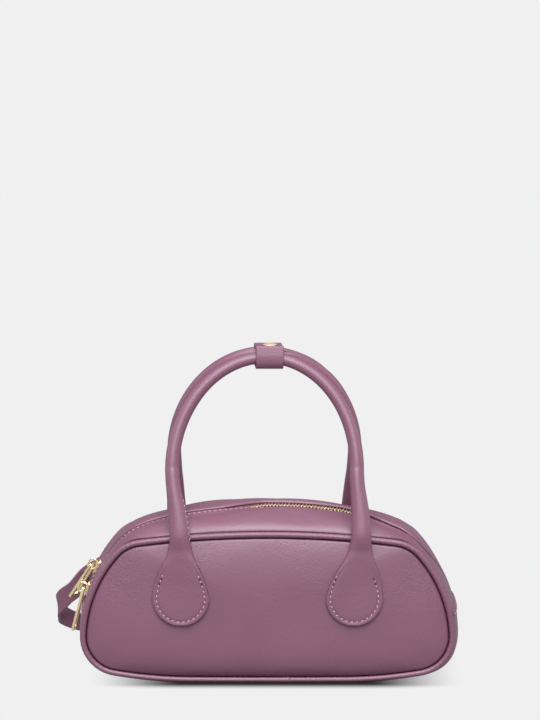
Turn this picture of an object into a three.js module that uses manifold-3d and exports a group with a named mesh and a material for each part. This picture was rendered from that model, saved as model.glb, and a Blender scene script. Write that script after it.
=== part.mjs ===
// A small crossbody bowling bag of leather: two piped panels, a gusset zipped over the top, two tube
// handles held by a keeper, and a shoulder strap. Millimetres, +Z up. The front faces -Y, X = 0 is the
// middle of the bag, and the base rests on Z = 0.
import * as THREE from 'three';
import loadManifold from 'manifold-3d';

const manifold = await loadManifold();
manifold.setup();
const { degToRad, lerp, clamp, mapLinear, smoothstep } = THREE.MathUtils;

// Leather and clearance
const WALL = 1.8;
const GAP = 0.3;
const PIPING_RADIUS = 1.9;
const PIPING_SIDES = 8;
const PIPING_FACET_FIT = 0.96;

// The seam that joins panel, piping and gusset: its height, and half the depth between the two seams
const SEAM_TOP = 98.4;
const SEAM_BASE = PIPING_RADIUS;
const HALF_WIDTH = 120.5;
const HALF_DEPTH = 35;
const DEPTH_LEAN = 3;
const DEPTH_BOW = 3;
const BACK_DRAW = 19;

// Half of the seam's outline, clockwise from the top centre. Each stretch is an arc that carries on from
// the last. left and right say how far the gusset's middle stands off the seam at its end, in each half of
// the bag, and ease is the power that brings it there.
const CREST_RISE = 13.7;
const OUTLINE = [
  { stretch: 'top', radius: 616, turn: 7.8, steps: 5, left: 7.4, right: 6.9, ease: 2.6 },
  { stretch: 'shoulder', radius: 24.5, turn: 41, steps: 5, left: 1.4, right: 2.4, ease: 0.7 },
  { stretch: 'upper side', radius: 0, turn: 29.5, steps: 4, left: 2.2, right: 4.7, ease: 1.2 },
  { stretch: 'lower side', radius: 0, turn: 9, steps: 3, left: 3.1, right: 4.4, ease: 1 },
  { stretch: 'lower corner', radius: 24, turn: 40, steps: 3, left: 3, right: 7.6, ease: 1 },
  { stretch: 'under corner', radius: 24, turn: 43.5, steps: 4, left: 2.1, right: 3.6, ease: 1 },
  { stretch: 'base sweep', radius: 316, turn: 9.2, steps: 3, left: 1.9, right: 1.9, ease: 1 },
];
const FLAT_STEPS = 2;
const LAP_STATION = OUTLINE.slice(0, 3).reduce((count, arc) => count + arc.steps, 0);

// Gusset: how its cross-section leaves the seam, and the zipper in its middle
const GUSSET_EDGE = 0.2;
const GUSSET_POWER = 2.2;
const BASE_FLAT_SHARE = 0.8;
const BASE_FLAT_HEIGHT = 20;
const BASE_PROUD = 0.6;
const ZIP_HALF_GAP = 3.2;
const CHAIN_HALF_WIDTH = 2.6;
const CHAIN_SINK = 0.6;
const CHAIN_THICK = 2.4;
const TAPE_INNER = CHAIN_HALF_WIDTH + GAP;
const TAPE_OUTER = 11;
const TAPE_THICK = 1;

// Panels: the pillow between the seams
const PANEL_CENTRE_Z = 46;
const PANEL_BULGE = 5.5;
const PANEL_POWER = 4;
const PANEL_RINGS = [0.1, 0.4, 0.62, 0.8, 0.92, 1];
const PANEL_INNER_RINGS = [1, 0.88, 0.66, 0.4, 0.1];

// Handles: a round patch on the panel that rolls up into a tube. Rows run up one leg.
const PATCH_RADIUS = 18.5;
const PATCH_X = 56.3;
const PATCH_Z = 58;
const PATCH_THICK = 2.7;
const PATCH_ANGLES = [10, 27, 46, 67, 90];
const LEG = [
  { z: 66.5, width: 33.6, thick: 2.9, square: 6 },
  { z: 74, width: 28, thick: 3.3, square: 6 },
  { z: 80, width: 22.4, thick: 4, square: 4.5 },
  { z: 85.5, width: 17.4, thick: 5, square: 3 },
  { z: 91, width: 14.7, thick: 6, square: 2.4 },
  { z: 98, width: 12.9, thick: 7.2, square: 2 },
  { z: 107, width: 12.1, thick: 8, square: 2 },
  { z: 118, width: 11, thick: 8.8, square: 2 },
  { z: 130, width: 9.5, thick: 9.2, square: 2 },
];
const HANDLE_SIDES = 12;
const NECK_Z = 98;
const ARCH_Z = 140.5;
const ARCH_HALF_WIDTH = 59.8;
const ARCH_ANGLES = [90, 76, 62, 48, 35, 22, 10];
const ARCH_FOOT_WIDTH = 9.2;
const TUBE_TOP = 7.4;
const TOP_OUT = 5.2;
// bow is how far the legs swell outwards; the shifts lean the handle sideways at patch, neck, arch and top
const HANDLES = [
  { name: 'front_handle', side: -1, top: 209.5, bow: 0.7, shifts: [0, 1.9, -2, -1.2] },
  { name: 'back_handle', side: 1, top: 211.4, bow: 0.1, shifts: [-1.5, -2.6, -2, -1.2] },
];

// Keeper round both handles, closed on top with a stud
const KEEPER = { x: 1.6, length: 18, halfDepth: 11.2, low: 202.1, high: 217.1, wall: 1.5, corner: 3 };
const STUD = { radius: 4.6, rim: 0.6, rise: 1.5, y: -1.5 };

// Zipper sliders and their frame pulls, at the left end of the zip
const SLIDER = { length: 10, width: 5.6, thick: 1.4, sink: 0.3, corner: 2 };
const BRIDGE = { length: 7.6, hole: 4.8, width: 1, wall: 1, corner: 1.6, pullX: 0.4 };
const PULL = { length: 30, topWidth: 6.2, footWidth: 9.4, thick: 1.5 };
const PULL_BARS = { top: 1.6, topSide: 0.95, footSide: 1.7, foot: 2.2 };
const PULLS = [
  { name: 'upper', along: 0.46, hang: 30, twist: 28, tip: 20, slack: 2.2 },
  { name: 'lower', along: 0.81, hang: 14, twist: 8, tip: 0, slack: 2.9 },
];

// Strap, with the rings and tabs that hold it on the back panel
const STRAP = { width: 12, thick: 2.4, tail: 24, taper: 11, turn: 14, run: 30, probe: 0.5 };
const TAB = { x: 84, z: 76, length: 18, width: 12, thick: 2.2, eye: 3.3 };
const RING = { wire: 1.3, reach: 11, halfWidth: 9.2, corner: 3, tilt: 12, sides: 6 };
const RINGS = [
  { name: 'left', side: -1, fall: 37 },
  { name: 'right', side: 1, fall: 60 },
];
// Free route of the strap's middle from the left ring, over the floor behind the bag, to the right ring
const STRAP_ROUTE = [
  [-129.5, 43, 41.8], [-136.8, 46.5, 35.3], [-140.3, 51.5, 28.7], [-140.3, 56.5, 23.2],
  [-139, 60.5, 19.2], [-134.5, 64, 15.5], [-126, 68.8, 11.6], [-112, 76, 8.4], [-96, 85, 6.8],
  [-83, 100, 6.3], [-77, 124, 6.3], [-83, 156, 6.3], [-94, 192, 6.3], [-102, 230, 6.3],
  [-102, 270, 6.3], [-88, 308, 6.3], [-62, 335, 6.3], [-32, 350, 6.3], [0, 355, 6.3], [32, 350, 6.3],
  [62, 335, 6.3], [88, 308, 6.3], [102, 270, 6.3], [105, 230, 6.3], [103, 190, 6.3], [100, 150, 6.3],
  [99, 118, 6.4], [102, 92, 8.2], [106.5, 71, 14], [109, 57, 24],
];

const LEATHER = { color: 0x8b6278, roughness: 0.5, metalness: 0 };
const TAPE_CLOTH = { color: 0x5c3c4c, roughness: 0.9, metalness: 0 };
const GOLD = { color: 0xd9bd86, roughness: 0.28, metalness: 1 };

const bag = new THREE.Group();
bag.name = 'crossbody_bag';

/** A closed solid whose sections are loops of points; the ends are capped unless the loft is closed. */
function loft(sections, closed = false) {
  const sides = sections[0].length;
  const rings = sections.length;
  const faces = [];
  for (let ring = 0; ring < (closed ? rings : rings - 1); ring++) {
    const here = ring * sides;
    const next = ((ring + 1) % rings) * sides;
    for (let side = 0; side < sides; side++) {
      const beside = (side + 1) % sides;
      faces.push(here + side, here + beside, next + beside);
      faces.push(here + side, next + beside, next + side);
    }
  }
  if (!closed) {
    const last = (rings - 1) * sides;
    for (const [a, b, c] of ladder(sides)) {
      faces.push(c, b, a);
      faces.push(last + a, last + b, last + c);
    }
  }
  const geometry = new THREE.BufferGeometry().setFromPoints(sections.flat());
  geometry.setIndex(signedVolume(sections.flat(), faces) < 0 ? faces.reverse() : faces);
  geometry.computeVertexNormals();
  return geometry;
}

/** Triangles that fill a loop rung by rung, from its first and last points towards its middle. */
function ladder(sides) {
  const rungs = [];
  let low = 0;
  let high = sides - 1;
  while (high - low > 1) {
    rungs.push([low, low + 1, high]);
    low += 1;
    if (high - low > 1) {
      rungs.push([low, high - 1, high]);
      high -= 1;
    }
  }
  return rungs;
}

/** Six times the volume that a list of triangles encloses, positive when they face outwards. */
function signedVolume(points, faces) {
  let volume = 0;
  for (let i = 0; i < faces.length; i += 3) {
    const [a, b, c] = [points[faces[i]], points[faces[i + 1]], points[faces[i + 2]]];
    volume += a.dot(new THREE.Vector3().crossVectors(b, c));
  }
  return volume;
}

function addPiece(name, geometry, finish, parent = bag) {
  const mesh = new THREE.Mesh(geometry, new THREE.MeshStandardMaterial(finish));
  mesh.name = name;
  parent.add(mesh);
  return mesh;
}

/** Half of the seam, side -1 for the left: stations with a place, an outward normal and the gusset's rise. */
function layHalfOutline(side) {
  const headings = [0];
  for (const arc of OUTLINE) {
    headings.push(headings.at(-1) + arc.turn);
  }
  const fall = OUTLINE.map((arc, i) => Math.cos(degToRad(headings[i])) - Math.cos(degToRad(headings[i + 1])));
  const others = OUTLINE.reduce((sum, arc, i) => sum + arc.radius * fall[i], 0);
  const sideRadius = (SEAM_TOP - SEAM_BASE - others) / (fall[2] + fall[3]);
  const stations = [{ x: 0, z: SEAM_TOP, nx: 0, nz: 1, rise: CREST_RISE }];
  OUTLINE.forEach((arc, i) => {
    const radius = arc.radius || sideRadius;
    const start = degToRad(headings[i]);
    const last = stations.at(-1);
    for (let step = 1; step <= arc.steps; step++) {
      const share = step / arc.steps;
      const heading = start + degToRad(arc.turn) * share;
      stations.push({
        x: last.x + side * radius * (Math.sin(heading) - Math.sin(start)),
        z: last.z + radius * (Math.cos(heading) - Math.cos(start)),
        nx: side * Math.sin(heading),
        nz: Math.cos(heading),
        rise: lerp(last.rise, side < 0 ? arc.left : arc.right, share ** arc.ease),
      });
    }
  });
  const { x, z, rise } = stations.at(-1);
  for (let step = 1; step <= FLAT_STEPS; step++) {
    stations.push({ x: x * (1 - step / FLAT_STEPS), z, nx: 0, nz: -1, rise });
  }
  return stations;
}

const leftHalf = layHalfOutline(-1);
const rightHalf = layHalfOutline(1);
const outline = [...rightHalf, ...leftHalf.slice(1, -1).reverse()];
const topStations = [...leftHalf.slice(1, LAP_STATION + 1).reverse(), ...rightHalf.slice(0, LAP_STATION + 1)];
const lowStations = [...rightHalf.slice(LAP_STATION), ...leftHalf.slice(LAP_STATION, -1).reverse()];

/**
 * Distance of a seam from the bag's middle plane, side -1 for the front. It bows in the middle, narrows
 * upwards, and at the back is drawn in towards the shoulders.
 */
function seamDepth(x, z, side) {
  const sideways = (x / HALF_WIDTH) ** 2;
  const drawn = side > 0 ? BACK_DRAW * sideways * (z / SEAM_TOP) ** 2 : 0;
  return HALF_DEPTH - (DEPTH_LEAN * z) / SEAM_TOP + DEPTH_BOW * (1 - sideways) - drawn;
}

/** A point of the gusset, v across it from the middle plane, lifted off its outer face. */
function gussetPoint(station, v, lift = 0) {
  const depth = seamDepth(station.x, station.z, v);
  const flat = BASE_FLAT_SHARE * (1 - clamp((station.z - SEAM_BASE) / BASE_FLAT_HEIGHT, 0, 1));
  const reach = clamp((Math.abs(v) / depth - flat) / (1 - flat), 0, 1);
  const stand = lerp(station.rise, GUSSET_EDGE, reach ** GUSSET_POWER) + lift;
  return new THREE.Vector3(station.x + station.nx * stand, v, station.z + station.nz * stand);
}

/** A strip of the gusset between two distances from the middle plane, from lift down to its underside. */
function gussetBand(stations, spread, lift, thick) {
  return loft(stations.map((station) => {
    const across = spread(station);
    const proud = lift(station);
    const outer = across.map((v) => gussetPoint(station, v, proud));
    const inner = across.map((v) => gussetPoint(station, v, proud - thick));
    return [...outer, ...inner.reverse()];
  }));
}

const gussetHalf = (station, side) => seamDepth(station.x, station.z, side) - PIPING_RADIUS - GAP;

/** How far along the way from the panel's middle to its rim a point lies, from 0 to 1. */
function rimShare(x, z) {
  const inset = PIPING_RADIUS + GAP;
  for (let i = 0; i < outline.length; i++) {
    const a = outline[i];
    const b = outline[(i + 1) % outline.length];
    const ax = a.x - a.nx * inset;
    const az = a.z - a.nz * inset - PANEL_CENTRE_Z;
    const bx = b.x - b.nx * inset;
    const bz = b.z - b.nz * inset - PANEL_CENTRE_Z;
    const px = x;
    const pz = z - PANEL_CENTRE_Z;
    const span = ax * bz - az * bx;
    const alongA = (px * bz - pz * bx) / span;
    const alongB = (ax * pz - az * px) / span;
    if (alongA >= 0 && alongB >= 0) {
      return Math.min(alongA + alongB, 1);
    }
  }
  return 1;
}

/** Distance of a panel's outer face from the bag's middle plane. */
function panelOut(x, z, side, share = rimShare(x, z)) {
  return seamDepth(x, z, side) + GAP + PANEL_BULGE * (1 - share ** PANEL_POWER);
}

/** One panel: rings from the middle of its outer face to the rim and back over its inner face. */
function panel(side) {
  const inset = PIPING_RADIUS + GAP;
  const ringAt = (share, sink) => outline.map((station) => {
    const x = (station.x - station.nx * inset) * share;
    const z = lerp(PANEL_CENTRE_Z, station.z - station.nz * inset, share);
    return new THREE.Vector3(x, side * (panelOut(x, z, side, share) - sink), z);
  });
  const outer = PANEL_RINGS.map((share) => ringAt(share, 0));
  const inner = PANEL_INNER_RINGS.map((share) => ringAt(share, WALL));
  return loft([...outer, ...inner]);
}

/** The piping: a cord round the seam, round in section. */
function piping(side) {
  const radius = (PIPING_RADIUS * PIPING_FACET_FIT) / Math.cos(Math.PI / PIPING_SIDES);
  return loft(outline.map((station) => {
    const depth = seamDepth(station.x, station.z, side);
    const section = [];
    for (let i = 0; i < PIPING_SIDES; i++) {
      const angle = (2 * Math.PI * (i + 0.5)) / PIPING_SIDES;
      const out = radius * Math.cos(angle);
      const y = side * (depth + radius * Math.sin(angle));
      section.push(new THREE.Vector3(station.x + station.nx * out, y, station.z + station.nz * out));
    }
    return section;
  }), true);
}

addPiece('front_panel', panel(-1), LEATHER);
addPiece('back_panel', panel(1), LEATHER);
addPiece('front_piping', piping(-1), LEATHER);
addPiece('back_piping', piping(1), LEATHER);

// The gusset: two strips beside the zip, and one long strip under the bag that laps the zip's ends
const stripSpread = (side) => (station) => {
  const outer = gussetHalf(station, side);
  return [1, 0.86, 0.62, 0.32, 0].map((share) => side * lerp(ZIP_HALF_GAP, outer, share));
};
addPiece('zip_strip_front', gussetBand(topStations, stripSpread(-1), () => 0, WALL), LEATHER);
addPiece('zip_strip_back', gussetBand(topStations, stripSpread(1), () => 0, WALL), LEATHER);

const BASE_SHARES = [-1, -0.82, -0.45, 0, 0.45, 0.82, 1];
const baseSpread = (station) => BASE_SHARES.map((share) => share * gussetHalf(station, share));
const baseProud = (station) => BASE_PROUD * clamp((station.z - BASE_FLAT_HEIGHT) / BASE_FLAT_HEIGHT, 0, 1);
const underLap = (station) => ({
  ...station,
  x: station.x + Math.sign(station.x) * station.nz * GAP,
  z: station.z - Math.abs(station.nx) * GAP,
});
const baseStations = lowStations.map((station, i) => {
  const isEnd = i === 0 || i === lowStations.length - 1;
  return isEnd ? underLap(station) : station;
});
addPiece('base_gusset', gussetBand(baseStations, baseSpread, baseProud, WALL), LEATHER);

const chainSpread = () => [-CHAIN_HALF_WIDTH, 0, CHAIN_HALF_WIDTH];
addPiece('zip_chain', gussetBand(topStations, chainSpread, () => -CHAIN_SINK, CHAIN_THICK), GOLD);
const tapeSpread = (side) => () => [side * TAPE_INNER, side * TAPE_OUTER];
const underStrip = () => -WALL - GAP;
addPiece('zip_tape_front', gussetBand(topStations, tapeSpread(-1), underStrip, TAPE_THICK), TAPE_CLOTH);
addPiece('zip_tape_back', gussetBand(topStations, tapeSpread(1), underStrip, TAPE_THICK), TAPE_CLOTH);

/** Distance of a handle's middle from the bag's middle plane: lying on the panel, then leaning to the top. */
function handleOut({ x, z, thick }, { side, top }) {
  const piped = seamDepth(x, NECK_Z, side) + PIPING_RADIUS;
  if (z <= NECK_Z) {
    return Math.max(panelOut(x, z, side), piped) + GAP + thick / 2;
  }
  const neck = piped + GAP + LEG.find((row) => row.z === NECK_Z).thick / 2;
  return mapLinear(z, NECK_Z, top, neck, TOP_OUT);
}

/** How far a handle leans sideways at a height. */
function handleShift(handle, z) {
  const levels = [PATCH_Z, NECK_Z, ARCH_Z, handle.top];
  const above = levels.findIndex((level) => z < level);
  if (above === 0) {
    return handle.shifts[0];
  }
  if (above === -1) {
    return handle.shifts.at(-1);
  }
  const share = smoothstep(z, levels[above - 1], levels[above]);
  return lerp(handle.shifts[above - 1], handle.shifts[above], share);
}

/** Rows of a handle from the foot of its left patch, over the arch, to the foot of its right patch. */
function handleRows(handle) {
  const leg = PATCH_ANGLES.map((angle) => ({
    x: PATCH_X,
    z: PATCH_Z - PATCH_RADIUS * Math.cos(degToRad(angle)),
    width: 2 * PATCH_RADIUS * Math.sin(degToRad(angle)),
    thick: PATCH_THICK,
    square: 6,
  }));
  for (const row of LEG) {
    const share = (row.z - PATCH_Z) / (ARCH_Z - PATCH_Z);
    leg.push({ ...row, x: lerp(PATCH_X, ARCH_HALF_WIDTH, share) + handle.bow * Math.sin(Math.PI * share) });
  }
  for (const angle of ARCH_ANGLES) {
    const across = Math.sin(degToRad(angle));
    const up = Math.cos(degToRad(angle));
    const tube = lerp(TUBE_TOP, ARCH_FOOT_WIDTH, angle / 90);
    leg.push({
      x: ARCH_HALF_WIDTH * across,
      z: ARCH_Z + (handle.top - ARCH_Z) * up,
      width: tube,
      thick: tube,
      square: 2,
    });
  }
  const crown = { x: 0, z: handle.top, width: TUBE_TOP, thick: TUBE_TOP, square: 2 };
  const left = leg.map((row) => ({ ...row, x: -row.x }));
  const rows = [...left, crown, ...leg.slice().reverse()];
  return rows.map((row) => ({ ...row, x: row.x + handleShift(handle, row.z) }));
}

function handleSolid(handle) {
  const rows = handleRows(handle);
  const middles = rows.map((row) => new THREE.Vector3(row.x, handle.side * handleOut(row, handle), row.z));
  return loft(rows.map((row, i) => {
    const ahead = middles[Math.min(i + 1, rows.length - 1)];
    const behind = middles[Math.max(i - 1, 0)];
    const lying = clamp((NECK_Z - row.z) / (NECK_Z - LEG[3].z), 0, 1);
    const tangent = ahead.clone().sub(behind).normalize();
    if (lying === 1) {
      tangent.set(0, 0, Math.sign(tangent.z));
    }
    const outward = new THREE.Vector3(0, handle.side, 0);
    outward.addScaledVector(tangent, -outward.dot(tangent)).normalize();
    const across = new THREE.Vector3().crossVectors(tangent, outward);
    const section = [];
    for (let k = 0; k < HANDLE_SIDES; k++) {
      const angle = (2 * Math.PI * (k + 0.5)) / HANDLE_SIDES;
      const sideways = Math.sign(Math.cos(angle)) * Math.abs(Math.cos(angle)) ** (2 / row.square);
      const thickways = Math.sign(Math.sin(angle)) * Math.abs(Math.sin(angle)) ** (2 / row.square);
      const point = middles[i].clone();
      point.addScaledVector(across, (sideways * row.width) / 2);
      point.addScaledVector(outward, (thickways * row.thick) / 2);
      const shift = panelOut(point.x, row.z, handle.side) - panelOut(row.x, row.z, handle.side);
      point.y += handle.side * shift * lying;
      section.push(point);
    }
    return section;
  }));
}

for (const handle of HANDLES) {
  addPiece(handle.name, handleSolid(handle), LEATHER);
}

/** Adds a rectangle with round corners to a shape or a hole. */
function roundedRectangle(path, left, low, right, high, corner) {
  path.moveTo(left + corner, low);
  path.lineTo(right - corner, low);
  path.absarc(right - corner, low + corner, corner, -Math.PI / 2, 0, false);
  path.lineTo(right, high - corner);
  path.absarc(right - corner, high - corner, corner, 0, Math.PI / 2, false);
  path.lineTo(left + corner, high);
  path.absarc(left + corner, high - corner, corner, Math.PI / 2, Math.PI, false);
  path.lineTo(left, low + corner);
  path.absarc(left + corner, low + corner, corner, Math.PI, 1.5 * Math.PI, false);
  return path;
}

function extrude(shape, depth) {
  const geometry = new THREE.ExtrudeGeometry(shape, { depth, bevelEnabled: false, curveSegments: 4 });
  return geometry.translate(0, 0, -depth / 2);
}

// The keeper: a band folded round both tubes, whose front end stands a little above the top
const keeper = new THREE.Group();
keeper.position.set(KEEPER.x, 0, 0);
keeper.rotation.set(Math.PI / 2, Math.PI / 2, 0);
bag.add(keeper);
const keeperShape = roundedRectangle(
  new THREE.Shape(), -KEEPER.halfDepth, KEEPER.low, KEEPER.halfDepth, KEEPER.high, KEEPER.corner,
);
keeperShape.holes.push(roundedRectangle(
  new THREE.Path(), KEEPER.wall - KEEPER.halfDepth, KEEPER.low + KEEPER.wall, KEEPER.halfDepth - KEEPER.wall,
  KEEPER.high - KEEPER.wall, KEEPER.corner - KEEPER.wall,
));
addPiece('handle_keeper', extrude(keeperShape, KEEPER.length), LEATHER, keeper);

const studProfile = [[0, 0], [STUD.radius, 0], [STUD.radius, STUD.rim]];
for (const angle of [30, 60]) {
  const rise = STUD.rim + (STUD.rise - STUD.rim) * Math.sin(degToRad(angle));
  studProfile.push([STUD.radius * Math.cos(degToRad(angle)), rise]);
}
studProfile.push([0, STUD.rise]);
const studPoints = studProfile.map(([radius, height]) => new THREE.Vector2(radius, height));
const stud = addPiece('keeper_stud', new THREE.LatheGeometry(studPoints, 20), GOLD);
stud.rotation.x = Math.PI / 2;
stud.position.set(KEEPER.x, STUD.y, KEEPER.high + GAP / 3);

/** Joins two geometries into one solid. */
function join(first, second) {
  const solids = [first, second].map((geometry) => {
    const merged = weld(geometry);
    return new manifold.Manifold(new manifold.Mesh(merged));
  });
  const mesh = solids[0].add(solids[1]).getMesh();
  const geometry = new THREE.BufferGeometry();
  geometry.setAttribute('position', new THREE.BufferAttribute(mesh.vertProperties, mesh.numProp));
  geometry.setIndex(new THREE.BufferAttribute(mesh.triVerts, 1));
  geometry.computeVertexNormals();
  return geometry;
}

/** The points and triangles of a geometry, with points at one place made one. */
function weld(geometry) {
  const flat = geometry.index ? geometry.toNonIndexed() : geometry;
  const place = flat.attributes.position;
  const known = new Map();
  const vertProperties = [];
  const triVerts = [];
  for (let i = 0; i < place.count; i++) {
    const point = [place.getX(i), place.getY(i), place.getZ(i)];
    const key = point.map((value) => Math.round(value * 1e4)).join(' ');
    if (!known.has(key)) {
      known.set(key, known.size);
      vertProperties.push(...point);
    }
    triVerts.push(known.get(key));
  }
  const solid = { numProp: 3, vertProperties: new Float32Array(vertProperties) };
  return { ...solid, triVerts: new Uint32Array(triVerts) };
}

// A slider in its own frame: X down the zip, Y across it, Z out of the bag. The bridge stands on the plate.
function sliderSolid() {
  const halfLength = SLIDER.length / 2;
  const halfWidth = SLIDER.width / 2;
  const plateShape = roundedRectangle(
    new THREE.Shape(), -halfLength, -halfWidth, halfLength, halfWidth, SLIDER.corner,
  );
  const plate = extrude(plateShape, SLIDER.thick).translate(0, 0, SLIDER.thick / 2);
  const halfBridge = BRIDGE.length / 2;
  const holeTop = SLIDER.thick + BRIDGE.hole;
  const bridgeShape = roundedRectangle(
    new THREE.Shape(), -halfBridge, SLIDER.thick / 2, halfBridge, holeTop + BRIDGE.wall, BRIDGE.corner,
  );
  bridgeShape.holes.push(roundedRectangle(
    new THREE.Path(), BRIDGE.wall - halfBridge, SLIDER.thick, halfBridge - BRIDGE.wall, holeTop,
    BRIDGE.corner - BRIDGE.wall,
  ));
  const bridge = extrude(bridgeShape, BRIDGE.width).rotateX(Math.PI / 2);
  return join(plate, bridge);
}

// A pull in its own frame: an open frame that widens along X, its upper bar on the Y axis.
function pullSolid() {
  const top = -PULL_BARS.top / 2;
  const foot = top + PULL.length;
  const outline = (near, far, nearHalf, farHalf, kind) => {
    const path = new kind();
    path.moveTo(near, -nearHalf);
    path.lineTo(far, -farHalf);
    path.lineTo(far, farHalf);
    path.lineTo(near, nearHalf);
    path.closePath();
    return path;
  };
  const frame = outline(top, foot, PULL.topWidth / 2, PULL.footWidth / 2, THREE.Shape);
  const nearHalf = PULL.topWidth / 2 - PULL_BARS.topSide;
  const farHalf = PULL.footWidth / 2 - PULL_BARS.footSide;
  frame.holes.push(outline(top + PULL_BARS.top, foot - PULL_BARS.foot, nearHalf, farHalf, THREE.Path));
  return extrude(frame, PULL.thick);
}

/** The crest of the zip at a share of the way down the left upper side. */
function zipPlace(share) {
  const first = LAP_STATION - OUTLINE[2].steps;
  const at = first + share * OUTLINE[2].steps;
  const low = leftHalf[Math.floor(at)];
  const high = leftHalf[Math.floor(at) + 1];
  const station = {};
  for (const key of ['x', 'z', 'nx', 'nz', 'rise']) {
    station[key] = lerp(low[key], high[key], at % 1);
  }
  const down = gussetPoint(high, 0).sub(gussetPoint(low, 0)).normalize();
  return { point: gussetPoint(station, 0), down };
}

for (const row of PULLS) {
  const { point, down } = zipPlace(row.along);
  const across = new THREE.Vector3(0, -1, 0);
  const out = new THREE.Vector3().crossVectors(down, across);
  const slider = new THREE.Group();
  slider.applyMatrix4(new THREE.Matrix4().makeBasis(down, across, out));
  slider.position.copy(point).addScaledVector(out, -SLIDER.sink);
  bag.add(slider);
  addPiece(`zip_slider_${row.name}`, sliderSolid(), GOLD, slider);
  const lean = degToRad(row.hang) - Math.atan2(-down.x, -down.z);
  const swing = new THREE.Group();
  swing.position.set(BRIDGE.pullX, 0, SLIDER.thick + BRIDGE.hole - row.slack);
  swing.rotation.set(degToRad(row.twist), -lean, -degToRad(row.tip), 'YZX');
  slider.add(swing);
  addPiece(`zip_pull_${row.name}`, pullSolid(), GOLD, swing);
}

// A tab in its own frame: X towards the ring, Y across, Z out of the panel, with an eye round the ring
function tabSolid() {
  const eyeX = TAB.length / 2;
  const eyeZ = GAP + TAB.eye;
  const profile = new THREE.Shape();
  profile.moveTo(-TAB.length / 2, GAP);
  profile.lineTo(eyeX, GAP);
  profile.absarc(eyeX, eyeZ, TAB.eye, -Math.PI / 2, Math.PI * 0.85, false);
  profile.lineTo(-TAB.length / 2, GAP + TAB.thick);
  const hole = new THREE.Path();
  hole.absarc(eyeX, eyeZ, RING.wire + GAP, 0, 2 * Math.PI, true);
  profile.holes.push(hole);
  return extrude(profile, TAB.width).rotateX(Math.PI / 2);
}

/** A ring of round wire: a rectangle with round corners, its near bar on the Y axis. */
function ringSolid() {
  const middle = roundedRectangle(
    new THREE.Path(), 0, -RING.halfWidth, RING.reach, RING.halfWidth, RING.corner,
  ).getPoints(3);
  middle.pop();
  const loop = middle.filter((point, i) => i === 0 || point.distanceTo(middle[i - 1]) > 0.01);
  return loft(loop.map((point, i) => {
    const ahead = loop[(i + 1) % loop.length];
    const behind = loop[(i + loop.length - 1) % loop.length];
    const along = ahead.clone().sub(behind).normalize();
    const section = [];
    for (let k = 0; k < RING.sides; k++) {
      const angle = (2 * Math.PI * k) / RING.sides;
      const out = RING.wire * Math.cos(angle);
      section.push(new THREE.Vector3(
        point.x + along.y * out, point.y - along.x * out, RING.wire * Math.sin(angle),
      ));
    }
    return section;
  }), true);
}

const ringEnds = {};
for (const row of RINGS) {
  const tabOut = panelOut(TAB.x, TAB.z, 1);
  const place = new THREE.Vector3(row.side * TAB.x, tabOut, TAB.z);
  const slopeX = row.side * (panelOut(TAB.x + 1, TAB.z, 1) - tabOut);
  const slopeZ = panelOut(TAB.x, TAB.z + 1, 1) - tabOut;
  const out = new THREE.Vector3(-slopeX, 1, -slopeZ).normalize();
  const fall = degToRad(row.fall);
  const towards = new THREE.Vector3(row.side * Math.cos(fall), 0, -Math.sin(fall));
  towards.addScaledVector(out, -towards.dot(out)).normalize();
  const sideways = new THREE.Vector3().crossVectors(out, towards);
  const tab = new THREE.Group();
  tab.applyMatrix4(new THREE.Matrix4().makeBasis(towards, sideways, out));
  tab.position.copy(place);
  bag.add(tab);
  addPiece(`strap_tab_${row.name}`, tabSolid(), LEATHER, tab);
  const ring = new THREE.Group();
  ring.position.set(TAB.length / 2, 0, GAP + TAB.eye);
  ring.rotation.y = -degToRad(RING.tilt);
  tab.add(ring);
  addPiece(`strap_ring_${row.name}`, ringSolid(), GOLD, ring);
  bag.updateMatrixWorld(true);
  const bar = ring.localToWorld(new THREE.Vector3(RING.reach, 0, 0));
  const axes = [new THREE.Vector3(), new THREE.Vector3(), new THREE.Vector3()];
  ring.matrixWorld.extractBasis(...axes);
  ringEnds[row.name] = { bar, along: axes[0], across: axes[1].multiplyScalar(-row.side), off: axes[2] };
}

/** The strap's end at a ring: in along the folded tail, round the bar and out again. */
function strapEnd({ bar, along, off }) {
  const bend = RING.wire + 2 * GAP + STRAP.thick / 2;
  const laid = STRAP.thick / 2 + GAP / 2;
  const place = (far, aside) => bar.clone().addScaledVector(along, far).addScaledVector(off, aside);
  const points = [place(STRAP.tail, -laid), place(STRAP.taper, -lerp(laid, bend, 0.5))];
  for (let angle = -90; angle <= 90; angle += 45) {
    points.push(place(-bend * Math.cos(degToRad(angle)), bend * Math.sin(degToRad(angle))));
  }
  points.push(place(STRAP.taper, lerp(laid, bend, 0.5)), place(STRAP.tail, laid));
  return points;
}

/** Distances along the strap where its next section goes: after a set turn or, where straight, a set run. */
function strapStops(curve, length) {
  const stops = [0];
  let turned = 0;
  let last = curve.getTangentAt(0);
  for (let distance = STRAP.probe; distance < length - STRAP.probe; distance += STRAP.probe) {
    const along = curve.getTangentAt(distance / length);
    turned += along.angleTo(last);
    last = along;
    if (turned > degToRad(STRAP.turn) || distance - stops.at(-1) > STRAP.run) {
      stops.push(distance);
      turned = 0;
    }
  }
  return [...stops, length];
}

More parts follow.
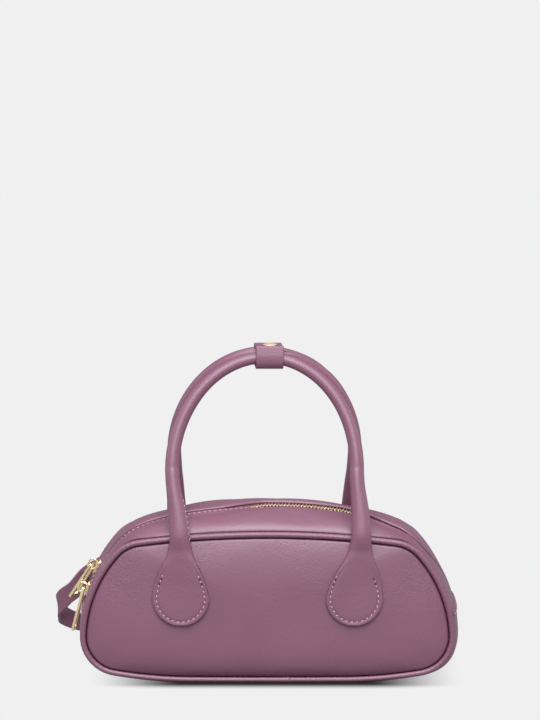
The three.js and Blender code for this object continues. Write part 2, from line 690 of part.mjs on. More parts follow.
// The strap: a flat band on edge, folded round a ring at each end
function strapSolid() {
  const start = strapEnd(ringEnds.left);
  const finish = strapEnd(ringEnds.right).reverse();
  const route = STRAP_ROUTE.map((point) => new THREE.Vector3(...point));
  const curve = new THREE.CatmullRomCurve3([...start, ...route, ...finish], false, 'centripetal');
  curve.arcLengthDivisions = 2000;
  const length = curve.getLength();
  const fold = 2 * STRAP.tail;
  const stops = strapStops(curve, length);
  return loft(stops.map((distance) => {
    const share = distance / length;
    const point = curve.getPointAt(share);
    const along = curve.getTangentAt(share);
    const up = new THREE.Vector3(0, 0, 1);
    const nearLeft = clamp((2 * fold - distance) / fold, 0, 1);
    const nearRight = clamp((2 * fold - (length - distance)) / fold, 0, 1);
    up.lerp(ringEnds.left.across, nearLeft).lerp(ringEnds.right.across, nearRight);
    up.addScaledVector(along, -up.dot(along)).normalize();
    const face = new THREE.Vector3().crossVectors(along, up);
    return [[-1, -1], [1, -1], [1, 1], [-1, 1]].map(([wide, deep]) => point.clone()
      .addScaledVector(up, (wide * STRAP.width) / 2)
      .addScaledVector(face, (deep * STRAP.thick) / 2));
  }));
}

addPiece('shoulder_strap', strapSolid(), LEATHER);

export default bag;
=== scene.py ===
"""The looks of a small crossbody bowling bag in mauve leather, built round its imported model."""
import math

import bpy
import numpy as np
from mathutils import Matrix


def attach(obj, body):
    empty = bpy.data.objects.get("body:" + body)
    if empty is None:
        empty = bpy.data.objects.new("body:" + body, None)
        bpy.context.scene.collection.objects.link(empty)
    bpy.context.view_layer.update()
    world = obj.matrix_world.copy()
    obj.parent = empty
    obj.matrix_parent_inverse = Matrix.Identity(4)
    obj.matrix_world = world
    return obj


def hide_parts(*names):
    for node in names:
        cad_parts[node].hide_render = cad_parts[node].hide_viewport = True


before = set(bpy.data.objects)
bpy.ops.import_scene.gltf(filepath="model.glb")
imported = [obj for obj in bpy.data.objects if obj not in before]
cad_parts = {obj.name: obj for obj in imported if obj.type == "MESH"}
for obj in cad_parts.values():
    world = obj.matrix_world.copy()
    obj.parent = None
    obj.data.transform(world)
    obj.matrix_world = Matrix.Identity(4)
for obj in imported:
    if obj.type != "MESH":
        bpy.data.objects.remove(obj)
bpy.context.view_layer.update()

# The studio: the bag stands on a pale sweep and is photographed from far off and a little above.
# The sweep is matt paper. Soft lamps hang in front, above and behind, and two fill from the sides.
# Places and sizes are in metres here, and in millimetres from the leather on.
PHOTO_HEIGHT = 720
CAMERA_PLACE = (0.0016, -2.2, 0.628)
CAMERA_PITCH = 10.835
FOCAL_PIXELS = 3436
SENSOR = 36.0
VIEW_DEPTH = 50
PAPER_GREY = 0.871
PAPER_MATT = (0.44, 0.44, 0.44, 1)
ROOM_GREY = 0.4
FLOOR_HALF = 6.0
# The dark line round the bag's foot is painted shadow: the paper's glow darkens near a rectangle under the
# bag, with a longer fade along the bag.
BASE_MIDDLE = (0.005, 0)
BASE_HALF = (0.06, 0.041)
PAINTED_SHADOW_STRETCH = (0.21, 1)
PAINTED_SHADOW_REACH = 0.0135
PAINTED_SHADOW_DARK = 0.03
PAPER_MIDDLE = (0, 0.2)
PAPER_HALF = (0.09, 0.17)
PAPER_FADE = 0.04
PAPER_BOUNCE = 0.8

scene = bpy.context.scene
scene.view_settings.view_transform = "Standard"

camera_data = bpy.data.cameras.new("photo_camera")
camera_data.sensor_width = SENSOR
camera_data.lens = FOCAL_PIXELS / PHOTO_HEIGHT * SENSOR
camera_data.clip_end = VIEW_DEPTH
camera = bpy.data.objects.new("photo_camera", camera_data)
camera.location = CAMERA_PLACE
camera.rotation_euler = (math.radians(90 - CAMERA_PITCH), 0, 0)
scene.collection.objects.link(camera)
scene.camera = camera


def fill_sockets(node, sockets):
    """Gives each named or numbered input of a shader node its value, or links it to another node's output."""
    for key, value in sockets.items():
        if isinstance(value, bpy.types.NodeSocket):
            node.id_data.links.new(value, node.inputs[key])
        else:
            node.inputs[key].default_value = value


def add_node(tree, kind, sockets, **settings):
    """A new shader node of a kind, with its own settings made and its inputs filled."""
    node = tree.nodes.new("ShaderNode" + kind)
    for name, value in settings.items():
        setattr(node, name, value)
    fill_sockets(node, sockets)
    return node


def new_material(name):
    """An empty node material and its tree, with one Principled shader wired to the output."""
    material = bpy.data.materials.new(name)
    material.use_nodes = True
    tree = material.node_tree
    tree.nodes.clear()
    shader = add_node(tree, "BsdfPrincipled", {})
    add_node(tree, "OutputMaterial", {"Surface": shader.outputs["BSDF"]})
    return material, tree, shader


def floor_gap(tree, place, middle, half, stretch):
    """Distance on the floor from a rectangle: the length of what |place - middle| exceeds half by,
    stretched."""
    steps = (
        ("SUBTRACT", middle), ("ABSOLUTE", (0, 0)), ("SUBTRACT", half), ("MAXIMUM", (0, 0)),
        ("MULTIPLY", stretch),
    )
    for operation, value in steps:
        place = add_node(tree, "VectorMath", {0: place, 1: (*value, 0)}, operation=operation).outputs[0]
    return add_node(tree, "VectorMath", {0: place}, operation="LENGTH").outputs["Value"]


def sweep_material():
    """Paper so evenly lit that it only glows, but for a tight painted shadow where the bag stands on it,
    where the glow darkens. The glow on the bag is turned down. Behind the bag it is plain matt paper, on
    which the strap casts its shadow."""
    material, tree, shader = new_material("sweep_paper")
    fill_sockets(shader, {"Base Color": PAPER_MATT, "Roughness": 0.9, "Specular IOR Level": 0.1})
    place = add_node(tree, "TexCoord", {}).outputs["Object"]
    # Painted shadow: the glow darkens near the bag's base.
    painted_shadow = add_node(tree, "MapRange", {
        "Value": floor_gap(tree, place, BASE_MIDDLE, BASE_HALF, PAINTED_SHADOW_STRETCH),
        "From Max": PAINTED_SHADOW_REACH,
        "To Min": PAINTED_SHADOW_DARK * PAPER_GREY,
        "To Max": PAPER_GREY,
    }, interpolation_type="SMOOTHSTEP").outputs["Result"]
    seen = add_node(tree, "LightPath", {}).outputs["Is Camera Ray"]
    bounce = add_node(tree, "MapRange", {"Value": seen, "To Min": PAPER_BOUNCE}).outputs["Result"]
    glow = add_node(tree, "Emission", {"Color": painted_shadow, "Strength": bounce}).outputs["Emission"]
    fade = add_node(tree, "MapRange", {
        "Value": floor_gap(tree, place, PAPER_MIDDLE, PAPER_HALF, (1, 1)),
        "From Max": PAPER_FADE,
    }, interpolation_type="SMOOTHSTEP").outputs["Result"]
    mix = add_node(tree, "MixShader", {"Fac": fade, 1: shader.outputs["BSDF"], 2: glow})
    fill_sockets(tree.nodes["Material Output"], {"Surface": mix.outputs["Shader"]})
    return material


floor_mesh = bpy.data.meshes.new("sweep_floor")
floor_corners = [(x * FLOOR_HALF, y * FLOOR_HALF, 0) for x, y in ((-1, -1), (1, -1), (1, 1), (-1, 1))]
floor_mesh.from_pydata(floor_corners, [], [(0, 1, 2, 3)])
floor_mesh.materials.append(sweep_material())
floor = bpy.data.objects.new("sweep_floor", floor_mesh)
scene.collection.objects.link(floor)

world = bpy.data.worlds.new("studio_room")
world.use_nodes = True
scene.world = world
world.node_tree.nodes["Background"].inputs["Color"].default_value = (ROOM_GREY, ROOM_GREY, ROOM_GREY, 1)

LAMP_AIM_Z = 0.1
# Lamps: place, size across and up, watts; each looks at the middle of the bag
LAMPS = (
    ("front_lamp", (0, -2.0, 1.5), (1.4, 1.0), 48),
    ("top_lamp", (0, -1.2, 2.0), (1.6, 1.2), 76),
    ("back_lamp", (0, 0.7, 2.2), (1.6, 1.0), 15),
    ("left_lamp", (-1.9, 0.1, 0.8), (1.2, 1.2), 12),
    ("right_lamp", (1.9, 0.1, 0.8), (1.2, 1.2), 12),
)
for lamp_name, place, (lamp_width, lamp_height), watts in LAMPS:
    lamp_data = bpy.data.lights.new(lamp_name, "AREA")
    lamp_data.shape = "RECTANGLE"
    lamp_data.size = lamp_width
    lamp_data.size_y = lamp_height
    lamp_data.energy = watts
    lamp = bpy.data.objects.new(lamp_name, lamp_data)
    lamp.location = place
    aim = camera.location.copy()
    aim.x, aim.y, aim.z = (-value for value in place)
    aim.z += LAMP_AIM_Z
    lamp.rotation_euler = aim.to_track_quat("-Z", "Y").to_euler()
    scene.collection.objects.link(lamp)

# The leather: smooth calf dyed through in mauve, with a fine closed grain and a soft, waxed sheen.
# Cut edges are painted a shade darker, which the pieces mark with their own edge attribute. The same mark
# also darkens and dulls the creases under the piping and the patches' walls: painted shade there.
MM = 0.001
MAUVE = (0.115, 0.036, 0.071, 1)
MAUVE_DEEP = (0.107, 0.033, 0.065, 1)
EDGE_PAINT_AND_SHADE = (0.032, 0.007, 0.017, 1)
LEATHER_SHINE = 0.74
EDGE_SHINE = 0.05
LEATHER_ROUGH = (0.47, 0.57)
# scales of the textures, in waves per metre
DYE_SCALE = 28
WANDER_SCALE = 240
CELL_SCALE = 1050
PORE_SCALE = 2600
FOLD_SCALE = 210
WORKED_SCALE = 17
DYE_RANGE = (0.2, 0.55)
CELL_WANDER = 0.006
PORE_SHARE = 0.5
FOLD_SHARE = 0.8
GRAIN_DEPTH = 0.15 * MM
WORKED_RANGE = (0.38, 0.58)
RAISED_RANGE = (0.45, 1.3)
# height on the bag in mm and how strongly the grain stands out there, most where the leather is slack
GRAIN_HEIGHTS = ((0, 0.3), (42, 0.35), (68, 0.95), (92, 0.95), (112, 0.35), (220, 0.35))


def blend(tree, share, first, second):
    """A colour between two others, by a share."""
    return add_node(tree, "Mix", {0: share, 6: first, 7: second}, data_type="RGBA").outputs[2]


def mapped(tree, value, start=(0, 1), end=(0, 1)):
    """A value brought from one range to another along a straight line, and held at its ends."""
    return add_node(tree, "MapRange", {
        "Value": value, "From Min": start[0], "From Max": start[1], "To Min": end[0], "To Max": end[1],
    }).outputs["Result"]


def noise(tree, place, scale, detail=2.0, distortion=0.0):
    """Soft noise in space: a scale in waves per metre, a number of finer layers and a distortion."""
    return add_node(tree, "TexNoise", {
        "Vector": place, "Scale": scale, "Detail": detail, "Distortion": distortion,
    })


def leather_material():
    """Object-space grain: small cells for the closed grain, finer noise for pores, and slow noise for the
    dye, for the soft unevenness of a worked hide and for where its grain is raised. Its strength also changes
    with the height on the bag. The edge mark darkens and dulls: edge paint on cut edges, and painted shade in
    the creases under the piping and on the patches' walls."""
    material, tree, shader = new_material("mauve_leather")
    place = add_node(tree, "TexCoord", {}).outputs["Object"]
    dye = noise(tree, place, DYE_SCALE, detail=4).outputs["Fac"]
    shade = blend(tree, mapped(tree, dye, DYE_RANGE), MAUVE_DEEP, MAUVE)
    edge = add_node(tree, "Attribute", {}, attribute_name="edge").outputs["Fac"]
    wander = noise(tree, place, WANDER_SCALE).outputs["Color"]
    astray = add_node(tree, "Mix", {0: CELL_WANDER, 4: place, 5: wander}, data_type="VECTOR").outputs[1]
    cells = add_node(
        tree, "TexVoronoi", {"Vector": astray, "Scale": CELL_SCALE, "Smoothness": 0.6}, feature="SMOOTH_F1",
    ).outputs["Distance"]
    pores = noise(tree, place, PORE_SCALE).outputs["Fac"]
    grain = add_node(tree, "Math", {0: pores, 1: PORE_SHARE, 2: cells}, operation="MULTIPLY_ADD").outputs[0]
    folds = noise(tree, place, FOLD_SCALE, detail=5, distortion=1.2).outputs["Fac"]
    uneven = add_node(tree, "Math", {0: folds, 1: FOLD_SHARE, 2: grain}, operation="MULTIPLY_ADD").outputs[0]
    raised = mapped(tree, noise(tree, place, WORKED_SCALE).outputs["Fac"], WORKED_RANGE, RAISED_RANGE)
    height = add_node(tree, "SeparateXYZ", {"Vector": place}).outputs["Z"]
    highest = GRAIN_HEIGHTS[-1][0]
    slack = add_node(tree, "ValToRGB", {"Fac": mapped(tree, height, (0, highest * MM))})
    for mark, _ in GRAIN_HEIGHTS[1:-1]:
        slack.color_ramp.elements.new(mark / highest)
    for stop, (_, stands_out) in zip(slack.color_ramp.elements, GRAIN_HEIGHTS):
        stop.color = (stands_out, stands_out, stands_out, 1)
    strength = add_node(tree, "Math", {0: raised, 1: slack.outputs["Color"]}, operation="MULTIPLY").outputs[0]
    bump = add_node(tree, "Bump", {"Height": uneven, "Strength": strength, "Distance": GRAIN_DEPTH})
    # Base colour and shine follow the edge mark: edge paint on cut edges, painted shade in creases.
    fill_sockets(shader, {
        "Base Color": blend(tree, edge, shade, EDGE_PAINT_AND_SHADE),
        "Specular IOR Level": mapped(tree, edge, end=(LEATHER_SHINE, EDGE_SHINE)),
        "Roughness": mapped(tree, dye, end=LEATHER_ROUGH),
        "Normal": bump.outputs["Normal"],
    })
    return material


mauve_leather = leather_material()


def make_piece(name, points, faces, material, slot, body="bag", edge=None, stands_for=()):
    """Puts points (mm) and faces into one smooth mesh, turned outwards if the volume they close is
    negative, and tells the frame what it rides on and which nodes it stands for. The slot, for the finish
    it takes, is not used."""
    points = np.asarray(points, dtype=float).reshape(-1, 3)
    faces = [np.asarray(group) for group in faces]
    corners = np.concatenate([
        group[:, (0, k, k + 1)] for group in faces for k in range(1, group.shape[1] - 1)
    ])
    first, second, third = (points[corners[:, k]] for k in range(3))
    inside_out = np.einsum("ij,ij->i", first, np.cross(second, third)).sum() < 0
    polygons = [polygon for group in faces for polygon in (group[:, ::-1] if inside_out else group).tolist()]
    mesh = bpy.data.meshes.new(name)
    mesh.from_pydata(points * MM, [], polygons)
    if edge is not None:
        edge_mark = mesh.attributes.new("edge", "FLOAT", "POINT")
        edge_mark.data.foreach_set("value", np.ravel(edge).astype(np.float32))
    mesh.polygons.foreach_set("use_smooth", np.ones(len(polygons), dtype=bool))
    mesh.materials.append(material)
    mesh.validate()
    piece = bpy.data.objects.new(name, mesh)
    scene.collection.objects.link(piece)
    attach(piece, body)
    if stands_for:
        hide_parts(*stands_for)
    return piece


# The seam: front and back panels, piping and gusset are all sewn along one closed line, drawn as
# arcs that carry on from each other: a shallow top, tight shoulders, leaning sides and a flat base.
SEAM_TOP = 98.4
SEAM_BASE = 1.9
SEAM_GRAIN = 0.25
CREST_RISE = 13.7
RISE_BLUR = 5.0
BLUR_SPAN = 4 * RISE_BLUR
SIDE_ARCS = [2, 3]
LAP_ARC = 3
# radius, turn in degrees, how far the gusset's middle stands off the seam at the arc's end on the left
# and on the right, and the power that brings it there
SEAM_ARCS = np.array((
    (616, 7.8, 7.4, 6.9, 2.6),
    (24.5, 41, 1.4, 2.4, 0.7),
    (0, 29.5, 2.2, 4.7, 1.2),
    (0, 9, 3.1, 4.4, 1),
    (24, 40, 3, 7.6, 1),
    (24, 43.5, 2.1, 3.6, 1),
    (316, 9.2, 1.9, 1.9, 1),
))
arc_radius, arc_turn, rise_left, rise_right, arc_ease = SEAM_ARCS.T.copy()
arc_turn = np.radians(arc_turn)
arc_start = np.concatenate([[0], np.cumsum(arc_turn)])
arc_fall = np.cos(arc_start[:-1]) - np.cos(arc_start[1:])
arc_radius[SIDE_ARCS] = (SEAM_TOP - SEAM_BASE - (arc_radius * arc_fall).sum()) / arc_fall[SIDE_ARCS].sum()
LAP_RUN = (arc_radius * arc_turn)[:LAP_ARC].sum()


def half_seam(rise):
    """Half the seam from the top centre: x, z, heading and gusset rise. A point on an arc is the arc's start
    plus the radius times the change in (sin, cos) of the heading."""
    columns = [np.array([[0, SEAM_TOP, 0, CREST_RISE]]).T]
    for radius, turn, begin, end_rise, power in zip(arc_radius, arc_turn, arc_start, rise, arc_ease):
        start = columns[-1][:, -1]
        share = np.linspace(0, 1, math.ceil(radius * turn / SEAM_GRAIN) + 1)[1:]
        heading = begin + turn * share
        columns.append(np.stack([
            start[0] + radius * (np.sin(heading) - np.sin(begin)),
            start[1] + radius * (np.cos(heading) - np.cos(begin)),
            heading,
            start[3] + (end_rise - start[3]) * share ** power,
        ]))
    end = columns[-1][:, -1]
    flat = np.linspace(1, 0, math.ceil(end[0] / SEAM_GRAIN) + 1)[1:]
    columns.append(np.stack([end[0] * flat, end[1] + 0 * flat, math.pi + 0 * flat, end[3] + 0 * flat]))
    return np.concatenate(columns, axis=1)


def draw_seam():
    """Both halves in one loop, clockwise from the top centre, with the gusset's rise blurred by a bell curve.
    Returns the length, and the run with x, z, outward normal and rise against it."""
    left = half_seam(rise_left)[:, -2:0:-1] * np.array([[-1], [1], [-1], [1]])
    x, z, heading, stand = np.concatenate([half_seam(rise_right), left], axis=1)
    steps = np.hypot(np.diff(x, append=x[0]), np.diff(z, append=z[0]))
    run = np.concatenate([[0], np.cumsum(steps)])
    grains = np.arange(-BLUR_SPAN, BLUR_SPAN + SEAM_GRAIN, SEAM_GRAIN)
    blur = np.exp(-0.5 * (grains / RISE_BLUR) ** 2)
    even = np.arange(0, run[-1], SEAM_GRAIN)
    steady = np.interp(even, run[:-1], stand, period=run[-1])
    padded = np.concatenate([steady[-len(blur):], steady, steady[: len(blur)]])
    soft = np.convolve(padded, blur / blur.sum(), mode="same")[len(blur): -len(blur)]
    stand = np.interp(run[:-1], even, soft, period=run[-1])
    return run[-1], run[:-1], x, z, np.sin(heading), np.cos(heading), stand


SEAM_LENGTH, seam_run, seam_x, seam_z, seam_nx, seam_nz, seam_rise = draw_seam()


def seam_at(run):
    """Place, outward normal and gusset rise of the seam at a run clockwise from the top centre."""
    columns = (seam_x, seam_z, seam_nx, seam_nz, seam_rise)
    return [np.interp(run, seam_run, column, period=SEAM_LENGTH) for column in columns]


HALF_WIDTH = 120.5
HALF_DEPTH = 35.0
DEPTH_LEAN = 3.0
DEPTH_BOW = 3.0
BACK_DRAW = 19.0


def seam_depth(x, z, side):
    """Distance of a seam from the bag's middle plane, side -1 for the front: it narrows upwards, bows out in
    the middle, and at the back is drawn in towards the shoulders."""
    sideways = (x / HALF_WIDTH) ** 2
    drawn = (np.asarray(side) > 0) * BACK_DRAW * sideways * (z / SEAM_TOP) ** 2
    return HALF_DEPTH - DEPTH_LEAN * z / SEAM_TOP + DEPTH_BOW * (1 - sideways) - drawn


def quads_of(grid):
    """Four-cornered faces between neighbours of a grid of point numbers."""
    return np.stack([grid[:-1, :-1], grid[1:, :-1], grid[1:, 1:], grid[:-1, 1:]], axis=-1).reshape(-1, 4)


def both_faces(mark):
    """A mark on a sheet's grid, listed for the points of its two faces."""
    return np.concatenate([mark.ravel(), mark[1:-1, 1:-1].ravel()])


def sheet(outer, inner):
    """A closed sheet of leather from two grids of points whose borders are one and the same."""
    rows, columns = outer.shape[:2]
    top = np.arange(rows * columns).reshape(rows, columns)
    under = top.copy()
    under[1:-1, 1:-1] = rows * columns + np.arange((rows - 2) * (columns - 2)).reshape(rows - 2, columns - 2)
    points = np.concatenate([outer.reshape(-1, 3), inner[1:-1, 1:-1].reshape(-1, 3)])
    return points, [np.concatenate([quads_of(top), quads_of(under)[:, ::-1]])]


def tube(rings, closed=False):
    """A tube through rings of points; an open one is closed at each end by a fan to the ring's middle."""
    count, sides = rings.shape[:2]
    ring = np.arange(count * sides).reshape(count, sides)
    grid = np.concatenate([ring, ring[:, :1]], axis=1)
    if closed:
        grid = np.concatenate([grid, grid[:1]])
        return rings.reshape(-1, 3), [quads_of(grid)]
    points = np.concatenate([rings.reshape(-1, 3), rings[:1].mean(axis=1), rings[-1:].mean(axis=1)])
    near = np.stack([grid[0, 1:], grid[0, :-1], np.full(sides, count * sides)], axis=-1)
    far = np.stack([grid[-1, :-1], grid[-1, 1:], np.full(sides, count * sides + 1)], axis=-1)
    return points, [quads_of(grid)[:, ::-1], far, near]


def rounded(distance, reach):
    """Share of the full thickness at a distance from an edge rounded over a reach: a quarter circle."""
    return np.sqrt(np.clip(1 - (1 - np.clip(distance / reach, 0, 1)) ** 2, 0, 1))


def edge_steps(length, reach, spacing, turns=6):
    """Places from 0 to a length, even in the middle and closer by the cosine rule near each end."""
    nose = reach * (1 - np.cos(np.linspace(0, math.pi / 2, turns)))
    middle = np.linspace(reach, length - reach, max(2, round((length - 2 * reach) / spacing) + 1))
    return np.concatenate([nose[:-1], middle, length - nose[-2::-1]])


# The panels: front and back are one cut of soft leather each, 1.8 mm, turned in at the seam so that
# they stand out like a shallow pillow, and drawn in a little round the sewn handle patches.
WALL = 1.8
GAP = 0.3
PIPING_RADIUS = 1.9
PANEL_CENTRE_Z = 46.0
PANEL_BULGE = 5.5
PANEL_LOW_POWER = 6.0
PANEL_HIGH_POWER = 3.2
POWER_HEIGHTS = (20, 80)
PANEL_LINES = 141
LINE_CROWD = 1.35
PANEL_TUCK = 1.8
TUCK_REACH = 2.4
RIM_INSET = 1.3
FOLD_REACH = 0.9
# The panel is painted with shade in the crease where it dives under the piping: full near its sewn edge,
# fading further in.
CREASE_DARK = 1.1
CREASE_FADE = 0.8
PATCH_X = 56.3
PATCH_Z = 58.0
PATCH_RADIUS = 18.5
PATCH_DRAW = 0.15
DRAW_REACH = 1.5
RELIEF_CALM = 8
# height of the waves over a panel, their lengths across and up, and where the slow ones begin
SLOW_WAVE = (0.22, 17, 15)
SLANT_WAVE = (0.12, 9, 11)
WAVE_START = (0.6, 0.4)

rim_x = seam_x - seam_nx * RIM_INSET
rim_z = seam_z - seam_nz * RIM_INSET - PANEL_CENTRE_Z
rim_angle = np.arctan2(rim_x, rim_z)
rim_reach = np.hypot(rim_x, rim_z)


def ease(value, start, end):
    """A smooth step from 0 at start to 1 at end."""
    way = np.clip((value - start) / (end - start), 0, 1)
    return way * way * (3 - 2 * way)


def panel_out(x, z, side, share=None):
    """Distance of a panel's face from the middle of the bag: the seam's half depth, and a pillow that falls
    off with a power of the share of the way from the panel's middle to its rim, slowly above and late
    below."""
    if share is None:
        angle = np.arctan2(x, z - PANEL_CENTRE_Z)
        share = np.hypot(x, z - PANEL_CENTRE_Z) / np.interp(angle, rim_angle, rim_reach, period=2 * math.pi)
    power = PANEL_LOW_POWER + (PANEL_HIGH_POWER - PANEL_LOW_POWER) * ease(z, *POWER_HEIGHTS)
    return seam_depth(x, z, side) + GAP + PANEL_BULGE * (1 - np.clip(share, 0, 1) ** power)


def painted_crease_shade(gap):
    """Painted shade in the crease, by the distance from the leather's sewn edge where it dives under the
    piping.
    """
    return 1 - np.clip((gap - CREASE_DARK) / CREASE_FADE, 0, 1)


def panel_relief(x, z):
    """What the sewing does to a panel: a press round each patch that dies off in a few millimetres, and slow
    waves over the whole face."""
    slow, wide, high = SLOW_WAVE
    slant, slant_wide, slant_high = SLANT_WAVE
    relief = slow * np.sin(x / wide + WAVE_START[0]) * np.sin(z / high + WAVE_START[1])
    relief = relief + slant * np.sin(x / slant_wide - z / slant_high)
    for side in (-1, 1):
        gap = np.hypot(x - side * PATCH_X, z - PATCH_Z) - PATCH_RADIUS
        relief = relief - PATCH_DRAW * np.exp(-np.abs(gap) / DRAW_REACH)
    return relief


def panel_sheet(side):
    """A square net laid over the panel in concentric squares, so that it has no pole: the larger of the two
    coordinates is the share of the way to the rim, and the place round the square is the place round it."""
    line = np.linspace(-1, 1, PANEL_LINES)
    line = np.sign(line) * (1 - (1 - np.abs(line)) ** LINE_CROWD)
    a, b = np.meshgrid(line, line)
    share = np.maximum(np.abs(a), np.abs(b))
    safe = np.where(share == 0, 1, share)
    upright = np.abs(b) >= np.abs(a)
    angle = np.where(
        upright,
        np.where(b >= 0, a / safe, 4 - a / safe),
        np.where(a >= 0, 2 - b / safe, 6 + b / safe),
    )
    x, z, nx, nz, _ = seam_at(angle / 8 * SEAM_LENGTH)
    face_x = (x - nx * RIM_INSET) * share
    face_z = PANEL_CENTRE_Z + (z - nz * RIM_INSET - PANEL_CENTRE_Z) * share
    rim_gap = (1 - share) * ((x - nx * RIM_INSET) * nx + (z - nz * RIM_INSET - PANEL_CENTRE_Z) * nz)
    calm = np.clip(rim_gap / RELIEF_CALM, 0, 1)
    out = panel_out(face_x, face_z, side, share) + panel_relief(face_x, face_z) * calm
    out = out - PANEL_TUCK * (1 - np.clip(rim_gap / TUCK_REACH, 0, 1)) ** 2
    wall = WALL * rounded(rim_gap, FOLD_REACH)
    outer = np.stack([face_x, side * (out - WALL / 2 + wall / 2), face_z], axis=-1)
    inner = np.stack([face_x, side * (out - WALL / 2 - wall / 2), face_z], axis=-1)
    # The edge mark is painted shade in the crease where the panel dives under the piping.
    return sheet(outer, inner), both_faces(painted_crease_shade(rim_gap))


for panel_name, side in (("front_panel_leather", -1), ("back_panel_leather", 1)):
    node = panel_name.replace("_leather", "")
    net, mark = panel_sheet(side)
    make_piece(panel_name, *net, mauve_leather, "leather", edge=mark, stands_for=(node,))

# The piping: a thin cord in a bias strip of the same leather, caught in the seam all the way round.
# Its two ends lap under the bag, a little right of the middle, where a cut edge shows.
PIPING_SIDES = 16
PIPING_SPACING = 1.0
PIPING_JOIN_RUN = SEAM_LENGTH / 2 - 14.6
PIPING_LAP = 0.35
LAP_FADE = 3.5
JOIN_STEP = 0.25
JOIN_GAP = 0.01
RIPPLE = 0.05
RIPPLE_LENGTH = 3.4
FLOOR_CLEAR = 0.02


def piping_rings(side):
    """Round sections along the seam, with a faint ripple. Past the join the radius steps up by the lap and
    eases back down."""
    count = round(SEAM_LENGTH / PIPING_SPACING)
    run = PIPING_JOIN_RUN + np.concatenate([[0.0], np.linspace(JOIN_STEP, SEAM_LENGTH - JOIN_GAP, count)])
    x, z, nx, nz, _ = seam_at(run)
    past = run - PIPING_JOIN_RUN
    radius = PIPING_RADIUS + PIPING_LAP * np.exp(-past / LAP_FADE) * (past > 0)
    radius = radius + RIPPLE * np.sin(run * 2 * math.pi / RIPPLE_LENGTH)
    angle = np.linspace(0, 2 * math.pi, PIPING_SIDES, endpoint=False)
    off = radius[:, None] * np.cos(angle)
    y = side * (seam_depth(x, z, side)[:, None] + radius[:, None] * np.sin(angle))
    return np.stack([x[:, None] + nx[:, None] * off, y, z[:, None] + nz[:, None] * off], axis=-1)


for piping_name, side in (("front_piping_cord", -1), ("back_piping_cord", 1)):
    node = piping_name.replace("_cord", "")
    rings = piping_rings(side)
    rings[..., 2] = np.maximum(rings[..., 2], FLOOR_CLEAR)
    make_piece(piping_name, *tube(rings, closed=True), mauve_leather, "leather", stands_for=(node,))

# The gusset: one strip of leather runs under the bag and part of the way up both sides, and two
# narrower strips go over the top, one each side of the zip. The low strip laps over their ends.
GUSSET_EDGE = 0.2
GUSSET_POWER = 2.2
BASE_FLAT_SHARE = 0.8
BASE_FLAT_HEIGHT = 20.0
BASE_PROUD = 0.6
LAP_PROUD = 0.5
LAP_OVER = 1.5
LAP_EASE = 9
ZIP_HALF_GAP = 2.5
ZIP_SHIFT = -11.0
LEFT_SLOUCH = -1.5
RIGHT_SLOUCH = -6.5
OPEN_SHIFT = -1.0
ZIP_TILT = 0.35
OPEN_TILT = 0.55
RIGHT_OPEN = 0.25
ZIP_TILT_REACH = 6.0
TILT_PIVOT = 2.2
OPEN_FROM = -16.0
OPEN_TO = 62.0
OPEN_EASE = 18.0
# runs from the top centre, the left ones negative, over which the zip settles to the front and comes back,
# slouches further on either side, and closes its slit
SETTLE_RUNS = (-122, -84)
RETURN_RUNS = (138, 88)
SLOUCH_RUNS = (55, 90)
SLIT_RUNS = (84, 98)
FOLD_OVER = 0.3
FOLD_ROLL = 0.6
ROLL_REACH = 6
STRIP_INSET = 1.3
# Where a top strip dips to the piping it is painted with shade: below a height over the seam, and only near
# the seam.
CREASE_HEIGHT = 1.9
CREASE_NEAR = (1.2, 2.7)
# height of the dents in a top strip, their lengths along and across, those of the lesser ones, where the
# first begin, and how near the strip's two edges they die out
STRIP_DENT = 0.4
DENTS = (15, 6)
LESSER_DENTS = (6.5, 5)
LESSER_SHARE = 0.5
DENT_START = (0.7, 0.4)
DENT_CALM = (5, 6)
# spacing of a strip's net along it, and across it, as shares of the width, the edges' reach and the spacing
BASE_NET = (1.6, 0.04, 0.025)
STRIP_NET = (1.3, 0.05, 0.03)
STRIP_EDGE_TURNS = 8


def zip_ease(run):
    """1 along the top, where the zip has slouched towards the front, and 0 at its ends."""
    return ease(run, *SETTLE_RUNS) * ease(run, *RETURN_RUNS)


def zip_open(run):
    """1 where the front strip lies clear of the teeth, 0 where its folded edge has rolled over them, and on
    the right in between, so that a dark slit shows."""
    slit = RIGHT_OPEN * (1 - ease(run, *SLIT_RUNS))
    edges = (OPEN_FROM - OPEN_EASE, OPEN_FROM + OPEN_EASE, OPEN_TO - OPEN_EASE, OPEN_TO + OPEN_EASE)
    return ease(run, *edges[:2]) * (1 - (1 - slit) * ease(run, *edges[2:]))


def zip_line(run):
    """Distance of the zip from the middle plane: it has slouched to the front, more so near the shoulders."""
    slouch = LEFT_SLOUCH * ease(-run, *SLOUCH_RUNS) + RIGHT_SLOUCH * ease(run, *SLOUCH_RUNS)
    return (ZIP_SHIFT + (OPEN_SHIFT - ZIP_SHIFT) * zip_open(run) + slouch) * zip_ease(run)


